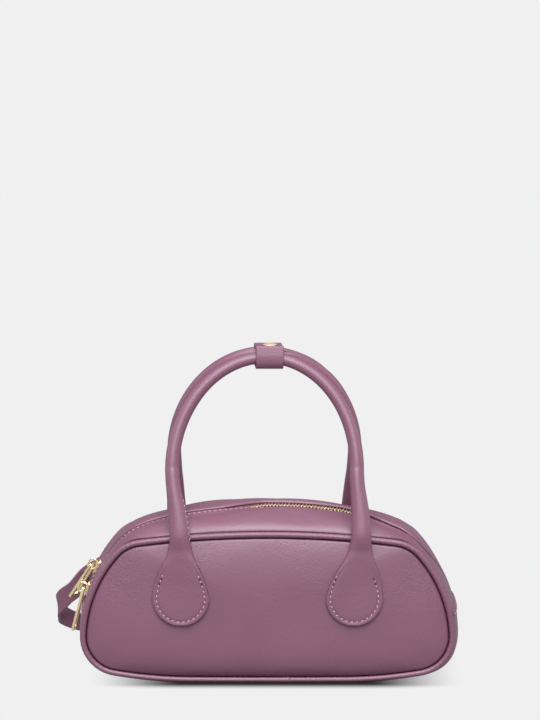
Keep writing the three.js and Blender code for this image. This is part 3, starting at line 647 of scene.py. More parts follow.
def gusset(run, across, lift=0.0):
    """A point of the gusset: out along the seam's normal by the rise at that run, which falls to the seam
    like an ellipse of the distance across; the strip is flat over most of its width where it meets the floor.
    Beside the zip it is tipped towards the front by a bell curve's slope."""
    x, z, nx, nz, rise = seam_at(run)
    flat = BASE_FLAT_SHARE * (1 - np.clip((z - SEAM_BASE) / BASE_FLAT_HEIGHT, 0, 1))
    reach = np.clip((np.abs(across) / (seam_depth(x, z, across) - STRIP_INSET) - flat) / (1 - flat), 0, 1)
    stand = GUSSET_EDGE + (rise - GUSSET_EDGE) * np.sqrt(1 - reach ** GUSSET_POWER) + lift
    beside = across - zip_line(run)
    tilt = (ZIP_TILT + (OPEN_TILT - ZIP_TILT) * zip_open(run)) * zip_ease(run)
    stand = stand + tilt * (beside - TILT_PIVOT) * np.exp(-(beside / ZIP_TILT_REACH) ** 2)
    return np.stack([x + nx * stand, across + 0 * x, z + nz * stand], axis=-1)


def gusset_half(run, side):
    """Half the width of the gusset, from the middle to under the piping of one side."""
    x, z = seam_at(run)[:2]
    return seam_depth(x, z, side) - STRIP_INSET


def gusset_normal(run):
    """Outward normal of the gusset's middle line."""
    nx, nz = seam_at(run)[2:4]
    return np.stack([nx, 0 * nx, nz], axis=-1)


def base_sheet():
    """The low strip from lap to lap: full width, lifted over the ends of the zip strips, edges rounded."""
    length = SEAM_LENGTH - 2 * (LAP_RUN - LAP_OVER)
    spacing, *across_net = BASE_NET
    along = edge_steps(length, FOLD_REACH, spacing)
    share = 2 * edge_steps(1, *across_net) - 1
    run = (LAP_RUN - LAP_OVER + along)[:, None] + 0 * share
    half = gusset_half(run, share)
    across = share * half
    end_gap = np.minimum(along, length - along)[:, None]
    side_gap = half * (1 - np.abs(share))
    wall = WALL * rounded(end_gap, FOLD_REACH) * rounded(side_gap, FOLD_REACH)
    lap = LAP_PROUD * (1 - np.clip((end_gap - LAP_OVER) / LAP_EASE, 0, 1)) ** 2
    z = seam_at(run)[1]
    proud = BASE_PROUD * np.clip((z - BASE_FLAT_HEIGHT) / BASE_FLAT_HEIGHT, 0, 1) + lap - WALL / 2
    outer = gusset(run, across, proud + wall / 2)
    inner = gusset(run, across, proud - wall / 2)
    outer[..., 2] = np.maximum(outer[..., 2], 0.0)
    # The edge mark is painted shade in the narrow creases along both seams.
    return sheet(outer, inner), both_faces(painted_crease_shade(side_gap + CREASE_DARK / 2))


def strip_sheet(side):
    """One top strip: from the folded edge beside the zip to the seam, its ends under the low strip's lap."""
    length = 2 * LAP_RUN
    spacing, *across_net = STRIP_NET
    along = edge_steps(length, FOLD_REACH, spacing)
    share = edge_steps(1, *across_net, STRIP_EDGE_TURNS)
    run = (along - LAP_RUN)[:, None] + 0 * share
    shift = side * zip_line(run)
    rolled = zip_ease(run) * (1 - zip_open(run)) * (side < 0)
    fold = shift + ZIP_HALF_GAP - (ZIP_HALF_GAP + FOLD_OVER) * rolled
    width = gusset_half(run, side) - fold
    across = side * (fold + share * width)
    end_gap = np.minimum(along, length - along)[:, None]
    fold_gap = share * width
    seam_gap = width - fold_gap
    wall = WALL * rounded(end_gap, FOLD_REACH) * rounded(np.minimum(fold_gap, seam_gap), FOLD_REACH)
    calm = np.clip(np.minimum(fold_gap / DENT_CALM[0], seam_gap / DENT_CALM[1]), 0, 1)
    dents = np.sin(run / DENTS[0] + DENT_START[0]) * np.sin(fold_gap / DENTS[1] + DENT_START[1])
    dents = dents + LESSER_SHARE * np.sin(run / LESSER_DENTS[0] - fold_gap / LESSER_DENTS[1])
    proud = FOLD_ROLL * rolled * np.exp(-(fold_gap / ROLL_REACH) ** 2) + STRIP_DENT * dents * calm - WALL / 2
    outer = gusset(run, across, proud + wall / 2)
    x, z, nx, nz, _ = seam_at(run)
    stand = (outer[..., 0] - x) * nx + (outer[..., 2] - z) * nz
    # The edge mark is painted shade where the strip dips into the crease at the piping, by its height over
    # the seam.
    near_seam = 1 - ease(seam_gap, *CREASE_NEAR)
    edge = near_seam * painted_crease_shade(stand - CREASE_HEIGHT + CREASE_DARK)
    return sheet(outer, gusset(run, across, proud - wall / 2)), both_faces(edge)


for node, (net, mark) in (
    ("base_gusset", base_sheet()), ("zip_strip_front", strip_sheet(-1)), ("zip_strip_back", strip_sheet(1)),
):
    make_piece(node + "_leather", *net, mauve_leather, "leather", edge=mark, stands_for=(node,))

# The stitching: pale waxed thread in lock stitches that slant a little in their row. Each stitch is
# a short bean of thread whose ends dive into pricked holes. Dark beans sunk at the holes are painted
# shade in them.
THREAD_RADIUS = 0.38
STITCH_PITCH = 3.45
STITCH_LENGTH = 2.3
STITCH_SLANT = 22
STITCH_PROUD = 0.12
STITCH_DIP = 0.35
HOLE_PLACE = 0.56
HOLE_SINK = 0.05
HOLE_LENGTH = 0.9
HOLE_RADIUS = 0.3
HOLE_NET = (6, 3)
LOOK_STEP = 0.3
BEAN_REACH = 0.97
BEAN_TIP = 0.96
STRAND_SCALE = 900
HOLE_SCALE = 1500
THREAD_PINK = (0.36, 0.20, 0.27, 1)
HOLE_SHADES = ((0.02, 0.006, 0.012, 1), (0.05, 0.018, 0.032, 1))


def thread_material():
    """Pale pink waxed thread, its strands shown by a fine slanting band in the bump."""
    material, tree, shader = new_material("waxed_thread")
    place = add_node(tree, "TexCoord", {}).outputs["Object"]
    strands = add_node(
        tree, "TexWave", {"Vector": place, "Scale": STRAND_SCALE}, bands_direction="DIAGONAL",
    ).outputs["Fac"]
    bump = add_node(tree, "Bump", {"Height": strands, "Strength": 0.5, "Distance": 0.1 * MM})
    fill_sockets(shader, {
        "Base Color": THREAD_PINK, "Roughness": 0.55, "Sheen Weight": 0.3, "Normal": bump.outputs["Normal"],
    })
    return material


def hole_shade_material():
    """Painted shade for the inside of a pricked hole: a very dark colour, uneven by a fine noise."""
    material, tree, shader = new_material("stitch_hole_shade")
    place = add_node(tree, "TexCoord", {}).outputs["Object"]
    shade = blend(tree, noise(tree, place, HOLE_SCALE).outputs["Fac"], *HOLE_SHADES)
    fill_sockets(shader, {"Base Color": shade, "Roughness": 0.9})
    return material


waxed_thread = thread_material()
stitch_hole_shade = hole_shade_material()


def unit(vectors):
    """Vectors brought to length one."""
    return vectors / np.linalg.norm(vectors, axis=-1, keepdims=True)


def evenly(points, pitch):
    """Places at an even pitch along a line of points, with the direction of the line there."""
    steps = np.linalg.norm(np.diff(points, axis=0), axis=1)
    run = np.concatenate([[0], np.cumsum(steps)])
    count = round(run[-1] / pitch)
    stops = (np.arange(count) + 0.5) * run[-1] / count
    behind, places, ahead = (
        np.stack([np.interp(stops + step, run, points[:, k]) for k in range(3)], axis=-1)
        for step in (-LOOK_STEP, 0, LOOK_STEP)
    )
    return stops, run, places, unit(ahead - behind)


def shells(points):
    """Many small closed shells at once, each a stack of rings: quads join its rings, and one face closes each
    end."""
    number = np.arange(points[..., 0].size).reshape(points.shape[:3])
    wrapped = np.concatenate([number, number[..., :1]], axis=-1)
    quads = np.stack(
        [wrapped[:, :-1, :-1], wrapped[:, :-1, 1:], wrapped[:, 1:, 1:], wrapped[:, 1:, :-1]], axis=-1
    )
    return points.reshape(-1, 3), [quads.reshape(-1, 4), number[:, 0, ::-1], number[:, -1]]


def beans(centre, along, out, length, radius, dip, sides=6, rings=7):
    """Rows of small closed beans: round sections that thin to the ends by the circle's rule, on a middle line
    that dips at both ends by the square of the way out."""
    way = np.sin(np.linspace(-0.5, 0.5, rings) * math.pi * BEAN_REACH)
    thick = radius * np.sqrt(1 - way ** 2 * BEAN_TIP)
    angle = np.linspace(0, 2 * math.pi, sides, endpoint=False)
    centre, along, out = (axis[:, None, None, :] for axis in (centre, along, out))
    return shells(
        centre
        + along * (way * length / 2)[:, None, None]
        + out * (thick[:, None] * np.sin(angle) - (dip * way ** 2)[:, None])[..., None]
        + np.cross(along, out) * (thick[:, None] * np.cos(angle))[..., None]
    )


def sew(name, centre, along, out, slant=STITCH_SLANT):
    """A row of stitches and the painted shade of their holes at places on the leather, turned by the slant
    about the surface.
    """
    along = unit(along - out * (along * out).sum(-1, keepdims=True))
    across = np.cross(out, along)
    turned = along * math.cos(math.radians(slant)) + across * math.sin(math.radians(slant))
    thread = beans(centre + out * STITCH_PROUD, turned, out, STITCH_LENGTH, THREAD_RADIUS, STITCH_DIP)
    make_piece(name + "_stitches", *thread, waxed_thread, "zip_tape")
    # Dark beans at both ends of each stitch, a little sunk: painted shade in the holes.
    to_hole = turned * STITCH_LENGTH * HOLE_PLACE
    ends = np.concatenate([centre - to_hole, centre + to_hole])
    directions = np.concatenate([turned, turned])
    outwards = np.concatenate([out, out])
    holes = beans(ends - outwards * HOLE_SINK, directions, outwards, HOLE_LENGTH, HOLE_RADIUS, 0, *HOLE_NET)
    make_piece(name + "_holes", *holes, stitch_hole_shade, "leather")


STRIP_STITCH_IN = 1.5
STRIP_STITCH_SINK = 0.28
STRIP_STITCH_START = 2
ROW_GRAIN = 0.5
row_run = np.arange(-LAP_RUN + LAP_OVER + STRIP_STITCH_START, OPEN_TO, ROW_GRAIN)
row_rolled = zip_ease(row_run) * (1 - zip_open(row_run))
row_across = zip_line(row_run) - ZIP_HALF_GAP + (ZIP_HALF_GAP + FOLD_OVER) * row_rolled - STRIP_STITCH_IN
row_lift = FOLD_ROLL * row_rolled * math.exp(-(STRIP_STITCH_IN / ROLL_REACH) ** 2) - STRIP_STITCH_SINK
row = gusset(row_run, row_across, row_lift)
stops, run, places, along = evenly(row, STITCH_PITCH)
sew("zip_strip_front", places, along, gusset_normal(np.interp(stops, run, row_run)))

LAP_STITCH_IN = 3.2
LAP_STITCH_EDGE = 3.0
LAP_STITCH_POINTS = 121
for lap_name, lap_run, towards in (("lap_right", LAP_RUN, 1), ("lap_left", SEAM_LENGTH - LAP_RUN, -1)):
    at = lap_run + towards * (LAP_STITCH_IN - LAP_OVER)
    front_end, back_end = (gusset_half(at, side) - LAP_STITCH_EDGE for side in (-1, 1))
    across = np.linspace(-front_end, back_end, LAP_STITCH_POINTS)
    row = gusset(at + 0 * across, across, BASE_PROUD + LAP_PROUD)
    stops, run, places, along = evenly(row, STITCH_PITCH)
    outward = np.repeat(gusset_normal(np.array([at])), len(stops), axis=0)
    sew(lap_name, places, along, outward, 0)

# The zip: brass teeth clenched on the beaded edges of two woven tapes, which are sewn under the
# strips. Only the teeth and a sliver of tape show between the folded edges of the leather.
CHAIN_SINK = 0.2
ROLLED_SINK = 2.5
CHAIN_THICK = 2.4
TAPE_INNER = 1.0
TAPE_OUTER = 11.0
TAPE_THICK = 1.0
TOOTH_PITCH = 2.2
TOOTH_SLANT = 0.45
TOOTH_LENGTH = 3.5
TOOTH_WIDTH = 1.15
TOOTH_SIDES = 8
TOOTH_SQUARE = 4
LOOK_ALONG = 0.2
LOOK_ACROSS = 0.5
# way across the zip from a tooth's head to its root, and the shares of its width and height there
TOOTH_PROFILE = np.array((
    (-0.9, 0.55, 0.55), (-0.75, 1, 0.95), (-0.1, 1, 1), (0.35, 0.8, 1), (1, 0.72, 1),
    (TOOTH_LENGTH - 1.1, 0.72, 0.95), (TOOTH_LENGTH - 0.95, 0.5, 0.6),
))
TAPE_EDGE = 0.5
# spacing of a tape's net along it, and across it, as shares of the width, the edges' reach and the spacing
TAPE_NET = (3, 0.05, 0.1)
TAPE_THREADS = 420
# The tape's two plums, darker in the weave's dips and lighter on its crowns: painted shade and light.
TAPE_PLUMS = ((0.09, 0.035, 0.055, 1), (0.20, 0.09, 0.13, 1))
PALE_GOLD = (0.80, 0.65, 0.40, 1)
# The teeth take a darker copy of the plated gold: painted shade for the slot they sit in between the leather
# edges.
SHADED_BRASS = (0.44, 0.33, 0.22, 1)
POLISH_SCALE = 700
POLISH_SPREAD = 0.12


def gold_material(name, colour, roughest=0.42):
    """Gold plate: metal with a faint unevenness in its polish and a thin clear lacquer."""
    material, tree, shader = new_material(name)
    place = add_node(tree, "TexCoord", {}).outputs["Object"]
    polish = noise(tree, place, POLISH_SCALE, detail=3).outputs["Fac"]
    bump = add_node(tree, "Bump", {"Height": polish, "Strength": 0.05, "Distance": 0.05 * MM})
    fill_sockets(shader, {
        "Base Color": colour, "Metallic": 1, "Coat Weight": 0.25, "Coat Roughness": 0.1,
        "Roughness": mapped(tree, polish, end=(roughest - POLISH_SPREAD, roughest)),
        "Normal": bump.outputs["Normal"],
    })
    return material


def tape_material():
    """Woven tape: two crossed waves a thread apart, dark plum, matt. The plum is darker in the dips of the
    weave and lighter on its crowns: painted shade and light of the threads.
    """
    material, tree, shader = new_material("zip_tape_weave")
    place = add_node(tree, "TexCoord", {}).outputs["Object"]
    threads = {"Vector": place, "Scale": TAPE_THREADS}
    warp = add_node(tree, "TexWave", threads).outputs["Fac"]
    weft = add_node(tree, "TexWave", threads, bands_direction="Y").outputs["Fac"]
    weave = add_node(tree, "Math", {0: warp, 1: weft}, operation="MULTIPLY").outputs[0]
    bump = add_node(tree, "Bump", {"Height": weave, "Distance": 0.15 * MM})
    fill_sockets(shader, {
        "Base Color": blend(tree, weave, *TAPE_PLUMS), "Roughness": 0.9, "Normal": bump.outputs["Normal"],
    })
    return material


pale_gold = gold_material("pale_gold", PALE_GOLD)
shaded_brass = gold_material("shaded_brass", SHADED_BRASS)
zip_tape_weave = tape_material()


def tape_sheet(side):
    """One tape: a thin band under the strip, from the teeth to where the strip is sewn down on it."""
    spacing, *across_net = TAPE_NET
    along = edge_steps(2 * LAP_RUN, TAPE_EDGE, spacing)
    share = edge_steps(1, *across_net)
    run = (along - LAP_RUN)[:, None] + 0 * share
    across = zip_line(run) + side * (TAPE_INNER + share * (TAPE_OUTER - TAPE_INNER))
    end_gap = np.minimum(along, 2 * LAP_RUN - along)[:, None]
    side_gap = (TAPE_OUTER - TAPE_INNER) * np.minimum(share, 1 - share)
    wall = TAPE_THICK * rounded(end_gap, TAPE_EDGE) * rounded(side_gap, TAPE_EDGE)
    middle = -WALL - GAP - TAPE_THICK / 2
    return sheet(gusset(run, across, middle + wall / 2), gusset(run, across, middle - wall / 2))


def squared(value, squareness):
    """A cosine or sine drawn out to a superellipse: its size to the power of 2 / squareness, sign kept."""
    return np.sign(value) * np.abs(value) ** (2 / squareness)


def teeth():
    """Every tooth at once: a block of round section across the zip, wide at its head and narrower where it
    clenches the tape, the two sides half a pitch apart so that their heads lie between each other. The front
    side's rings go round the other way, because its blocks are mirrored."""
    reach = LAP_RUN - LAP_OVER
    count = round(2 * reach / TOOTH_PITCH)
    slots = (np.arange(count) + 0.5) / count * 2 * reach - reach
    run = np.concatenate([slots, slots + TOOTH_PITCH / 2])
    side = np.repeat([-1.0, 1.0], count)[:, None]
    line = zip_line(run)
    rolled = zip_ease(run) * (1 - zip_open(run))
    crest = gusset(run, line, -CHAIN_SINK - ROLLED_SINK * rolled - CHAIN_THICK / 2)
    along = unit(gusset(run + LOOK_ALONG, line) - gusset(run - LOOK_ALONG, line))
    over = unit(gusset(run, line + LOOK_ACROSS) - gusset(run, line - LOOK_ACROSS))
    way, wide, tall = (column[:, None] for column in TOOTH_PROFILE.T)
    angle = np.linspace(0, 2 * math.pi, TOOTH_SIDES, endpoint=False) + math.pi / TOOTH_SIDES
    off = wide * TOOTH_WIDTH / 2 * squared(np.cos(angle), TOOTH_SQUARE) + TOOTH_SLANT * way
    up = tall * CHAIN_THICK / 2 * squared(np.sin(angle), TOOTH_SQUARE)
    crest, across, along, out = (
        axis[:, None, None, :] for axis in (crest, over * side, along, np.cross(along, over))
    )
    points = crest + across * way[..., None] + along * off[..., None] + out * up[..., None]
    points[:count] = points[:count, :, ::-1].copy()
    return shells(points)


make_piece("zip_teeth", *teeth(), shaded_brass, "gold_metal", stands_for=("zip_chain",))
for node, side in (("zip_tape_front", -1), ("zip_tape_back", 1)):
    make_piece(node + "_weave", *tape_sheet(side), zip_tape_weave, "zip_tape", stands_for=(node,))

# The handles: each is one strip of leather, cut round at both ends for the sewn patches and rolled
# over a cord into a tube between them. The tube's edges meet in a sewn seam near the right of each leg.
PATCH_THICK = 2.5
PATCH_EDGE = 0.9
NECK_Z = 98.0
ROLL_Z = 85.5
ARCH_Z = 140.5
ARCH_HALF_WIDTH = 59.8
TUBE_TOP = 7.4
TOP_OUT = 5.2
HANDLE_SIDES = 112
NECK_THICK = 7.2
FOOT_THIN = 0.1
FOOT_SQUARE = 2.2
LEG_ROWS = 75
ARCH_ROWS = 52
LAST_TURN = 88
BEND_ROWS = 15
BEND_HEIGHTS = (84, 94)
# degrees round the foot of a patch at which its sections stand, closer together near the tip
FOOT_TURNS = np.concatenate([np.linspace(3, 20, 9), np.linspace(24, LAST_TURN, 20)])
# height, width, thickness and squareness of the section up one leg
LEG = np.array((
    (PATCH_Z, 2 * PATCH_RADIUS, PATCH_THICK, 6),
    (66.5, 33.6, 2.7, 6),
    (74, 28, 3.3, 6),
    (80, 22.4, 4, 4.5),
    (ROLL_Z, 17.4, 5, 3),
    (91, 14.7, 6, 2.4),
    (NECK_Z, 12.9, NECK_THICK, 2),
    (107, 12.1, 8, 2),
    (118, 11, 8.8, 2),
    (130, 9.5, 9.2, 2),
    (ARCH_Z, 9.2, 9.2, 2),
))
# side, height of the crown, swell of the legs, sideways lean at patch, neck, arch and crown, and how far
# the tube's seam is turned in from the right-hand edge
HANDLES = {
    "front_handle": (-1, 209.5, 0.7, (0, 1.9, -2, -1.2), 8),
    "back_handle": (1, 211.4, 0.1, (-1.5, -2.6, -2, -1.2), -60),
}


def flowing(at, knots, values):
    """Values between knots on a curve that never overshoots: cubic pieces whose slope at a knot is the
    harmonic mean of the slopes on its two sides, or nothing at a turn."""
    step = np.diff(knots)
    rate = np.diff(values) / step
    product = rate[1:] * rate[:-1]
    total = np.where(product > 0, rate[1:] + rate[:-1], 1)
    slope = np.concatenate([[rate[0]], np.where(product > 0, 2 * product / total, 0), [rate[-1]]])
    piece = np.clip(np.searchsorted(knots, at, side="right") - 1, 0, len(step) - 1)
    way = (at - knots[piece]) / step[piece]
    fall = (1 - way) ** 2
    rise = way ** 2
    return (
        fall * (1 + 2 * way) * values[piece] + rise * (3 - 2 * way) * values[piece + 1]
        + step[piece] * (way * fall * slope[piece] - rise * (1 - way) * slope[piece + 1])
    )


def handle_rows(top, bow, leans):
    """Middle line and section sizes from the foot of the left patch, over the arch, to the right foot."""
    foot = np.radians(FOOT_TURNS)
    foot_gap = PATCH_RADIUS * (1 - np.cos(foot))
    patch = np.stack([
        PATCH_X + 0 * foot,
        PATCH_Z - PATCH_RADIUS * np.cos(foot),
        2 * PATCH_RADIUS * np.sin(foot),
        PATCH_THICK * np.maximum(rounded(foot_gap, PATCH_EDGE), FOOT_THIN),
        FOOT_SQUARE + (LEG[0, 3] - FOOT_SQUARE) * np.sin(foot),
    ])
    height = np.linspace(PATCH_Z, ARCH_Z, LEG_ROWS)
    way = (height - PATCH_Z) / (ARCH_Z - PATCH_Z)
    leg = np.stack([
        PATCH_X + (ARCH_HALF_WIDTH - PATCH_X) * way + bow * np.sin(math.pi * way),
        height,
        *(flowing(height, LEG[:, 0], LEG[:, k]) for k in (1, 2, 3)),
    ])
    turn = np.radians(np.linspace(LAST_TURN, 0, ARCH_ROWS))
    round_width = TUBE_TOP + (LEG[-1, 1] - TUBE_TOP) * turn / (math.pi / 2)
    arch = np.stack([
        ARCH_HALF_WIDTH * np.sin(turn),
        ARCH_Z + (top - ARCH_Z) * np.cos(turn),
        round_width,
        round_width,
        2 + 0 * turn,
    ])
    half = np.concatenate([patch, leg, arch], axis=1)
    rows = np.concatenate([half * np.array([[-1], [1], [1], [1], [1]]), half[:, -2::-1]], axis=1)
    levels = np.array([PATCH_Z, NECK_Z, ARCH_Z, top])
    lean = leans[0]
    for k in range(3):
        lean = lean + (leans[k + 1] - leans[k]) * ease(rows[1], levels[k], levels[k + 1])
    rows[0] += lean
    return rows


def handle_middle(rows, side, top):
    """The middle line in space: it lies on the panel up to the piping, then leans in to the crown, and the
    bend between the two is eased by a running mean."""
    x, z, _, thick, _ = rows
    piped = seam_depth(x, NECK_Z, side) + PIPING_RADIUS
    lying = np.maximum(panel_out(x, np.minimum(z, NECK_Z), side), piped) + GAP + thick / 2
    neck = piped + GAP + NECK_THICK / 2
    leaning = neck + (TOP_OUT - neck) * (z - NECK_Z) / (top - NECK_Z)
    out = np.where(z <= NECK_Z, lying, leaning)
    window = np.hanning(BEND_ROWS) / np.hanning(BEND_ROWS).sum()
    eased = np.convolve(np.pad(out, BEND_ROWS // 2, mode="edge"), window, mode="valid")
    out = out + (eased - out) * ease(z, *BEND_HEIGHTS)
    return np.stack([x, side * out, z], axis=-1)


def handle_frame(middle, rows, side):
    """Direction along the handle, outwards and across at each row; the patches lie upright on the panel."""
    lying = np.clip((NECK_Z - rows[1]) / (NECK_Z - ROLL_Z), 0, 1)
    tangent = unit(np.gradient(middle, axis=0))
    upright = np.stack([0 * lying, 0 * lying, np.sign(tangent[:, 2])], axis=-1)
    tangent = unit(tangent + (upright - tangent) * lying[:, None])
    outward = unit(np.array([0.0, side, 0.0]) - tangent * (tangent[:, 1:2] * side))
    return lying, tangent, outward, np.cross(tangent, outward)


def handle_section(rows, frames, middle, side, angle, swell=0.0):
    """Points of the sections at given angles: a superellipse of the row's width, thickness and squareness,
    bent to the panel where the handle lies on it."""
    lying, _, outward, across = frames
    width, thick, square = (rows[k][:, None] for k in (2, 3, 4))
    off = squared(np.cos(angle), square) * (width / 2 + swell)
    up = squared(np.sin(angle), square) * (thick / 2 + swell)
    points = middle[:, None, :] + across[:, None, :] * off[..., None] + outward[:, None, :] * up[..., None]
    x, z = rows[0][:, None], rows[1][:, None]
    bend = panel_out(points[..., 0], z + 0 * off, side) - panel_out(x, z, side)
    points[..., 1] += side * bend * lying[:, None]
    return points


SEAM_GROOVE = 0.55
SEAM_SPREAD = 0.16
SEAM_LIP = 0.35
LIP_TURN = 0.33
LIP_SPREAD = 0.2
GROOVE_HEIGHTS = (90, 99)
SEAM_CROSSING = (0.35, 0.65)
SEAM_STITCH_HEIGHTS = (94, 122)
SEAM_STITCH_TURN = 24
SEAM_STITCH_SINK = 0.1
SEAM_STITCH_SLANT = 8


def seam_angle(rows, side, turn):
    """Where the tube's seam lies round the section: turned in from the right-hand edge on both legs."""
    way = ease(np.linspace(0, 1, rows.shape[1]), *SEAM_CROSSING)
    near, far = (-turn, turn - 180) if side < 0 else (turn - 180, -turn)
    return np.radians(near + (far - near) * way)


PATCH_ROW_TOP = 75
PATCH_SIDE_POINTS = 40
PATCH_FOOT_POINTS = 120
PATCH_STITCH_IN = 2.75
STITCH_PRESS = 0.4
PRESS_REACH = 0.9
PRESS_HEIGHTS = (73, 80)
FLATTENED = 0.97
RIM_PAINT_AND_SHADE = 0.12
FOOT_PAINT_AND_SHADE = 0.35
OPEN_HOLES = 2
PRICK_PROUD = 0.35
PRICK_LENGTH = 1.7
PRICK_RADIUS = 0.7


def patch_edge_line(centre_x, inset):
    """The outline of a patch, moved in by an inset: down one side, round the foot and up the other side."""
    height = np.linspace(PATCH_ROW_TOP, PATCH_Z, PATCH_SIDE_POINTS)[:-1]
    half = flowing(height, LEG[:, 0], LEG[:, 1]) / 2
    foot = np.radians(np.linspace(90, -90, PATCH_FOOT_POINTS))
    side_x = np.concatenate([half, PATCH_RADIUS * np.sin(foot), -half[::-1]])
    side_z = np.concatenate([height, PATCH_Z - PATCH_RADIUS * np.cos(foot), height[::-1]])
    slope = unit(np.stack([np.gradient(side_x), np.gradient(side_z)], axis=-1))
    return centre_x + side_x + slope[:, 1] * inset, side_z - slope[:, 0] * inset


def patch_press(points, rows):
    """How far the thread draws the patch in: a bell curve of the distance from the stitch line, which runs at
    an even inset from the outline, and fades out where the patch rolls up into the tube."""
    height = points[..., 2]
    beside = np.abs(points[..., 0] - rows[0][:, None])
    half = flowing(np.maximum(height, PATCH_Z), LEG[:, 0], LEG[:, 1]) / 2
    low = PATCH_RADIUS - np.hypot(beside, height - PATCH_Z)
    gap = np.where(height < PATCH_Z, low, half - beside)
    pressed = STITCH_PRESS * np.exp(-((gap - PATCH_STITCH_IN) / PRESS_REACH) ** 2)
    return pressed * (1 - ease(height, *PRESS_HEIGHTS))


for handle_name, (side, top, bow, leans, turn) in HANDLES.items():
    rows = handle_rows(top, bow, leans)
    middle = handle_middle(rows, side, top)
    frames = handle_frame(middle, rows, side)
    angle = np.linspace(0, 2 * math.pi, HANDLE_SIDES, endpoint=False)
    seam = seam_angle(rows, side, turn)[:, None]
    away = np.abs((angle - seam + math.pi) % (2 * math.pi) - math.pi)
    rolled = ease(rows[1], *GROOVE_HEIGHTS)[:, None]
    lips = SEAM_LIP * np.exp(-((away - LIP_TURN) / LIP_SPREAD) ** 2)
    swell = rolled * SEAM_GROOVE * (lips - np.exp(-(away / SEAM_SPREAD) ** 2))
    body = handle_section(rows, frames, middle, side, angle, swell)
    body[..., 1] -= side * patch_press(body, rows) * (np.sin(angle) > 0)
    # Edge paint on the patch's walls and at its foot, darkening the under half of the section where it lies
    # on the panel: partly real edge paint, partly painted shade along the dark line under the rim.
    rim = np.clip(1 - np.sin(angle) / RIM_PAINT_AND_SHADE, 0, 1) * frames[0][:, None]
    foot_gap = rows[1] - PATCH_Z + PATCH_RADIUS
    rim = np.maximum(rim, np.clip(1 - foot_gap / FOOT_PAINT_AND_SHADE, 0, 1)[:, None])
    make_piece(
        handle_name + "_leather", *tube(body), mauve_leather, "leather", edge=np.append(rim, (1, 1)),
        stands_for=(handle_name,),
    )

    beside = seam + math.radians(SEAM_STITCH_TURN)
    row_line = handle_section(rows, frames, middle, side, beside, -SEAM_STITCH_SINK)[:, 0]
    lowest, highest = SEAM_STITCH_HEIGHTS
    for leg_name, leg_side in (("left", -1), ("right", 1)):
        on_leg = (rows[1] > lowest) & (rows[1] < highest) & (leg_side * rows[0] > 0)
        stops, run, places, along = evenly(row_line[on_leg], STITCH_PITCH)
        core_at = np.stack([np.interp(stops, run, middle[on_leg, k]) for k in range(3)], axis=-1)
        sew(f"{handle_name}_{leg_name}_seam", places, along, unit(places - core_at), SEAM_STITCH_SLANT)

    for patch_name, patch_side in (("left", -1), ("right", 1)):
        line_x, line_z = patch_edge_line(patch_side * PATCH_X + leans[0], PATCH_STITCH_IN)
        thickness = flowing(np.maximum(line_z, PATCH_Z), LEG[:, 0], LEG[:, 2]) * FLATTENED
        line_y = side * (panel_out(line_x, line_z, side) + GAP + thickness - STITCH_PRESS)
        stops, run, places, along = evenly(np.stack([line_x, line_y, line_z], axis=-1), STITCH_PITCH)
        outward = np.tile([0.0, side, 0.0], (len(stops), 1))
        sew(f"{handle_name}_{patch_name}_patch", places, along, outward, -STITCH_SLANT * side)
        # Dark beans half a pitch off the two stitches at each end of the row: painted shade in the pricked
        # holes there.
        onwards = np.repeat([0.5, -0.5], OPEN_HOLES)[:, None] * STITCH_PITCH
        at_ends = np.r_[0:OPEN_HOLES, -OPEN_HOLES:0]
        ahead, out = along[at_ends], outward[at_ends]
        prick_shades = beans(
            places[at_ends] + ahead * onwards + out * PRICK_PROUD, ahead, out, PRICK_LENGTH, PRICK_RADIUS, 0,
            *HOLE_NET,
        )
        make_piece(f"{handle_name}_{patch_name}_patch_pricks", *prick_shades, stitch_hole_shade, "leather")

# The keeper: a short band of leather wrapped round both tubes at the crown. Its front end stands up
# as a lip, and the other end comes over the top and is held by a gold stud.
KEEPER_X = 1.6
KEEPER_LENGTH = 18.0
KEEPER_HALF_DEPTH = 11.2
KEEPER_LOW = 202.1
KEEPER_HIGH = 217.1
KEEPER_WALL = 1.5
KEEPER_LIP = 0.9
KEEPER_LEAN = 1.7
KEEPER_BEND = 211.0
KEEPER_SKEW = 0.075
KEEPER_CORNERS = (14, 5.4, 4.2, 3.6)
KEEPER_EDGE = 0.6
KEEPER_PAINT = 0.15
BAND_SPACING = 0.6
BAND_STEP = 1.2
PAINT_OVER = 1.1


def polyline_arc(points, corner_radii, steps=9):
    """A line through points in a plane whose corners are turned with arcs of the radii given."""
    line = [points[0]]
    for before, here, after, radius in zip(points[:-2], points[1:-1], points[2:], corner_radii):
        back = (before - here) / np.linalg.norm(before - here)
        on = (after - here) / np.linalg.norm(after - here)
        half = math.acos(np.clip(back @ on, -1, 1)) / 2
        bisector = (back + on) / np.linalg.norm(back + on)
        centre = here + bisector * radius / math.sin(half)
        start = here + back * radius / math.tan(half) - centre
        end = here + on * radius / math.tan(half) - centre
        way = np.linspace(0, 1, steps)[:, None]
        swing = math.pi - 2 * half
        arc = (np.sin((1 - way) * swing) * start + np.sin(way * swing) * end) / math.sin(swing)
        line.extend(centre + arc)
    return np.array([*line, points[-1]])


def resample(line, spacing):
    """A line of points taken again at an even spacing."""
    run = np.concatenate([[0], np.cumsum(np.linalg.norm(np.diff(line, axis=0), axis=1))])
    stops = np.linspace(0, run[-1], round(run[-1] / spacing) + 1)
    return stops, np.stack([np.interp(stops, run, line[:, k]) for k in range(line.shape[1])], axis=-1)


